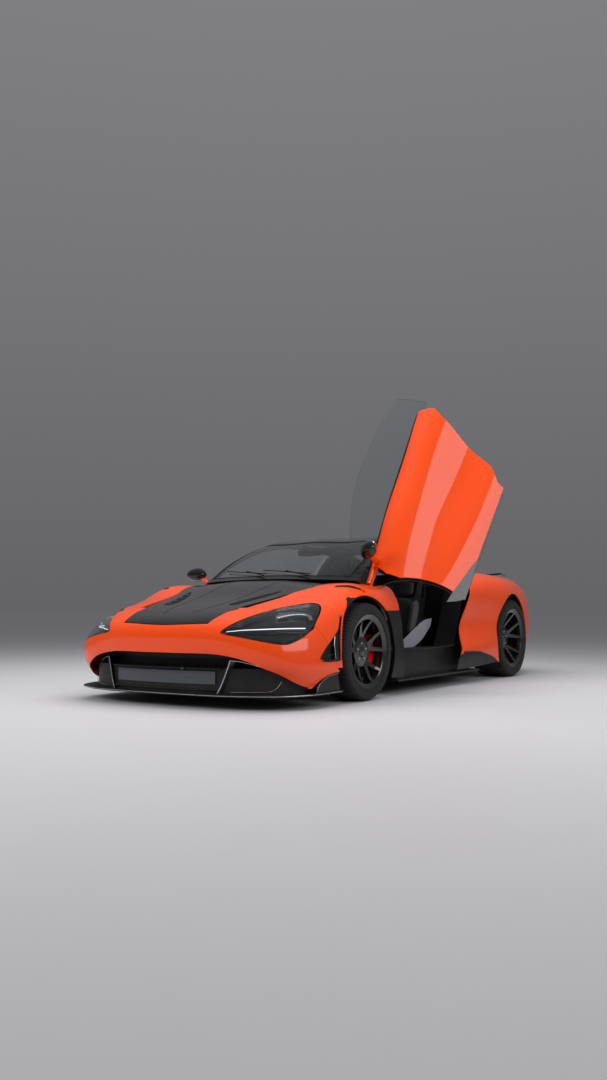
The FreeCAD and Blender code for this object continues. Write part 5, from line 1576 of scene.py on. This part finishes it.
class SUPERCAR_OT_glazing(bpy.types.Operator):
    """Build the window bands and wipers"""

    bl_idname = "supercar.glazing"
    bl_label = "Build glazing trims"

    def execute(self, context):
        car = body_of("windscreen")
        for name, t_range, s_range in (("windscreen", (0.13, 1.85), (1.14, 4.86)),
                                       ("rear_screen", (4.31, 5.84), (1.26, 4.74))):
            band = Shape()
            loop = self.frame_line(t_range, s_range)
            spots, outs = self.lift(loop, -2.6)
            band.sweep(spots, outs, superellipse(0.020, 0.0008, 6.0, 12), True)
            band.piece(name + "_band", car, "rubber seal", "satin_black", 0, 50)
        wipers = Shape()
        for start, end in (((0.20, 2.05), (0.36, 3.35)), ((0.20, 3.15), (0.42, 4.45))):
            path = [canopy_skin.off(start[0] + (end[0] - start[0]) * u, start[1] + (end[1] - start[1]) * u,
                                    0.009)[0] for u in np.linspace(0, 1, 14)]
            wipers.sweep(path, [(0.5, 0, 1)], superellipse(0.0045, 0.0030, 2.4, 8))
            arm = [canopy_skin.off(start[0] - 0.10 + (end[0] - start[0]) * u * 0.6 + 0.10 * u,
                                   start[1] + (end[1] - start[1]) * u * 0.5, 0.014)[0]
                   for u in np.linspace(0, 1, 10)]
            wipers.sweep(arm, [(0.5, 0, 1)], superellipse(0.0065, 0.0035, 2.4, 8))
        wipers.piece("wipers", car, "satin black plastic", "satin_black", 0, 40)
        return {"FINISHED"}

    def frame_line(self, t_range, s_range):
        corners = [(t_range[0], s_range[0]), (t_range[1], s_range[0]), (t_range[1], s_range[1]),
                   (t_range[0], s_range[1])]
        return [tuple(p)[:2] for p in dense([(a, b, 0) for a, b in corners], 20)]

    def lift(self, loop, depth):
        t, s = np.array(loop).T
        point, _, _, normal = canopy_skin.at(t, s)
        return point + normal * depth / 1000, normal


class SUPERCAR_OT_arches(bpy.types.Operator):
    """Build the liners inside the wheel arches"""

    bl_idname = "supercar.arches"
    bl_label = "Build arch liners"

    def execute(self, context):
        car = body_of("front_frame")
        for corner, x, side, _, radius, _, _ in CORNERS:
            arch = 0.373 if x > 0 else 0.395
            # The front liners widen inboard, where the steered tyre's corners reach.
            deep = 0.400 if x > 0 else arch
            liner = Shape()
            rings = []
            for k in range(41):
                angle = math.radians(-8 + 196 * k / 40)
                c, s = math.cos(angle), math.sin(angle)
                rings.append([(x + r * c, depth, radius + r * s)
                              for r, depth in ((deep, 0.600), (deep, 0.872), (arch, 0.905),
                                               (arch - 0.004, 0.905), (deep - 0.004, 0.872),
                                               (deep - 0.004, 0.600))])
            liner.loops(rings)
            liner.sided(side).piece("arch_liner_" + corner, car, "rubber seal", "satin_black", 0.0005, 40)
        return {"FINISHED"}


class SUPERCAR_OT_stage(bpy.types.Operator):
    """Set the floor, the lamps, the world and the camera"""

    bl_idname = "supercar.stage"
    bl_label = "Build stage"

    def execute(self, context):
        build_floor()
        build_lights()
        build_camera()
        return {"FINISHED"}


def build_floor():
    mesh = bpy.data.meshes.new("studio_floor")
    size = 60.0  # half the floor's side, in metres
    mesh.from_pydata([(-size, -size, 0), (size, -size, 0), (size, size, 0), (-size, size, 0)], [],
                     [(0, 1, 2, 3)])
    floor = bpy.data.objects.new("studio_floor", mesh)
    bpy.context.scene.collection.objects.link(floor)
    tree, shader = start_material("studio floor", Roughness=0.6)
    grain = use_group(tree, "Surface Grain", Scale=60.0, Depth=0.0002, Contrast=0.15)
    vary(tree, shader, grain["Mask"], colour(184, 184, 187), colour(198, 198, 201))
    floor.data.materials.append(bpy.data.materials["studio floor"])


def build_lights():
    world = bpy.data.worlds.new("studio world")
    bpy.context.scene.world = world
    world.use_nodes = True
    tree = world.node_tree
    back = tree.nodes["Background"]
    place = add_node(tree, "ShaderNodeTexCoord")
    parts = add_node(tree, "ShaderNodeSeparateXYZ", {0: place.outputs["Generated"]})
    shade = add_node(tree, "ShaderNodeValToRGB", {"Fac": parts.outputs["Z"]})
    ramp = shade.color_ramp
    ramp.elements[0].position, ramp.elements[0].color = 0.0, (0.17, 0.17, 0.178, 1.0)
    ramp.elements[1].position, ramp.elements[1].color = 0.9, (0.36, 0.36, 0.375, 1.0)
    wire(tree, shade.outputs["Color"], back.inputs["Color"])
    back.inputs["Strength"].default_value = 0.75
    for name, place, target, size, size_y, power, mirrored in (
            ("ceiling softbox", (0.4, 0.0, 4.6), (0.2, 0, 0.4), 6.4, 4.2, 300.0, False),
            ("front softbox", (7.0, -1.5, 3.2), (1.6, 0, 0.5), 4.6, 2.4, 210.0, False),
            ("side softbox", (1.6, 6.4, 3.2), (0.4, 0.4, 0.6), 6.4, 2.4, 160.0, True)):
        data = bpy.data.lights.new(name, "AREA")
        data.shape = "RECTANGLE"
        data.size, data.size_y, data.energy = size, size_y, power
        lamp = bpy.data.objects.new(name, data)
        bpy.context.scene.collection.objects.link(lamp)
        lamp.location = place
        lamp.visible_glossy = mirrored
        lamp.visible_transmission = mirrored
        aim = Vector(target) - Vector(place)
        lamp.rotation_euler = aim.to_track_quat("-Z", "Y").to_euler()


def build_camera():
    data = bpy.data.cameras.new("studio camera")
    data.lens = 31.996
    data.sensor_width = 36.0
    data.clip_end = 200.0
    camera = bpy.data.objects.new("studio camera", data)
    bpy.context.scene.collection.objects.link(camera)
    camera.location = (7.00580281, 4.05720773, 0.62917752)
    camera.rotation_euler = (math.radians(93.95684), 0.0, math.radians(122.6877))
    scene = bpy.context.scene
    scene.camera = camera
    scene.view_settings.view_transform = "Standard"


class SUPERCAR_PT_panel(bpy.types.Panel):
    """Steps of the car's looks"""

    bl_idname = "SUPERCAR_PT_panel"
    bl_label = "Supercar"
    bl_space_type = "VIEW_3D"
    bl_region_type = "UI"
    bl_category = "Supercar"

    def draw(self, context):
        layout = self.layout
        colours = context.scene.supercar_colours
        layout.prop(colours, "body")
        layout.prop(colours, "trim")
        for step in STEPS:
            layout.operator(step.bl_idname)


STEPS = (
    SUPERCAR_OT_stage,
    SUPERCAR_OT_panels,
    SUPERCAR_OT_wheels,
    SUPERCAR_OT_headlamps,
    SUPERCAR_OT_nose,
    SUPERCAR_OT_doors,
    SUPERCAR_OT_cabin,
    SUPERCAR_OT_tail,
    SUPERCAR_OT_glazing,
    SUPERCAR_OT_arches,
)
CLASSES = (SupercarColours, SUPERCAR_OT_materials) + STEPS + (SUPERCAR_PT_panel,)


def register():
    for item in CLASSES:
        bpy.utils.register_class(item)
    bpy.types.Scene.supercar_colours = bpy.props.PointerProperty(type=SupercarColours)


def unregister():
    del bpy.types.Scene.supercar_colours
    for item in reversed(CLASSES):
        bpy.utils.unregister_class(item)


def main():
    register()
    bpy.ops.supercar.materials()
    bpy.ops.supercar.stage()
    bpy.ops.supercar.panels()
    bpy.ops.supercar.wheels()
    bpy.ops.supercar.headlamps()
    bpy.ops.supercar.nose()
    bpy.ops.supercar.doors()
    bpy.ops.supercar.cabin()
    bpy.ops.supercar.tail()
    bpy.ops.supercar.glazing()
    bpy.ops.supercar.arches()


if __name__ == "__main__":
    main()
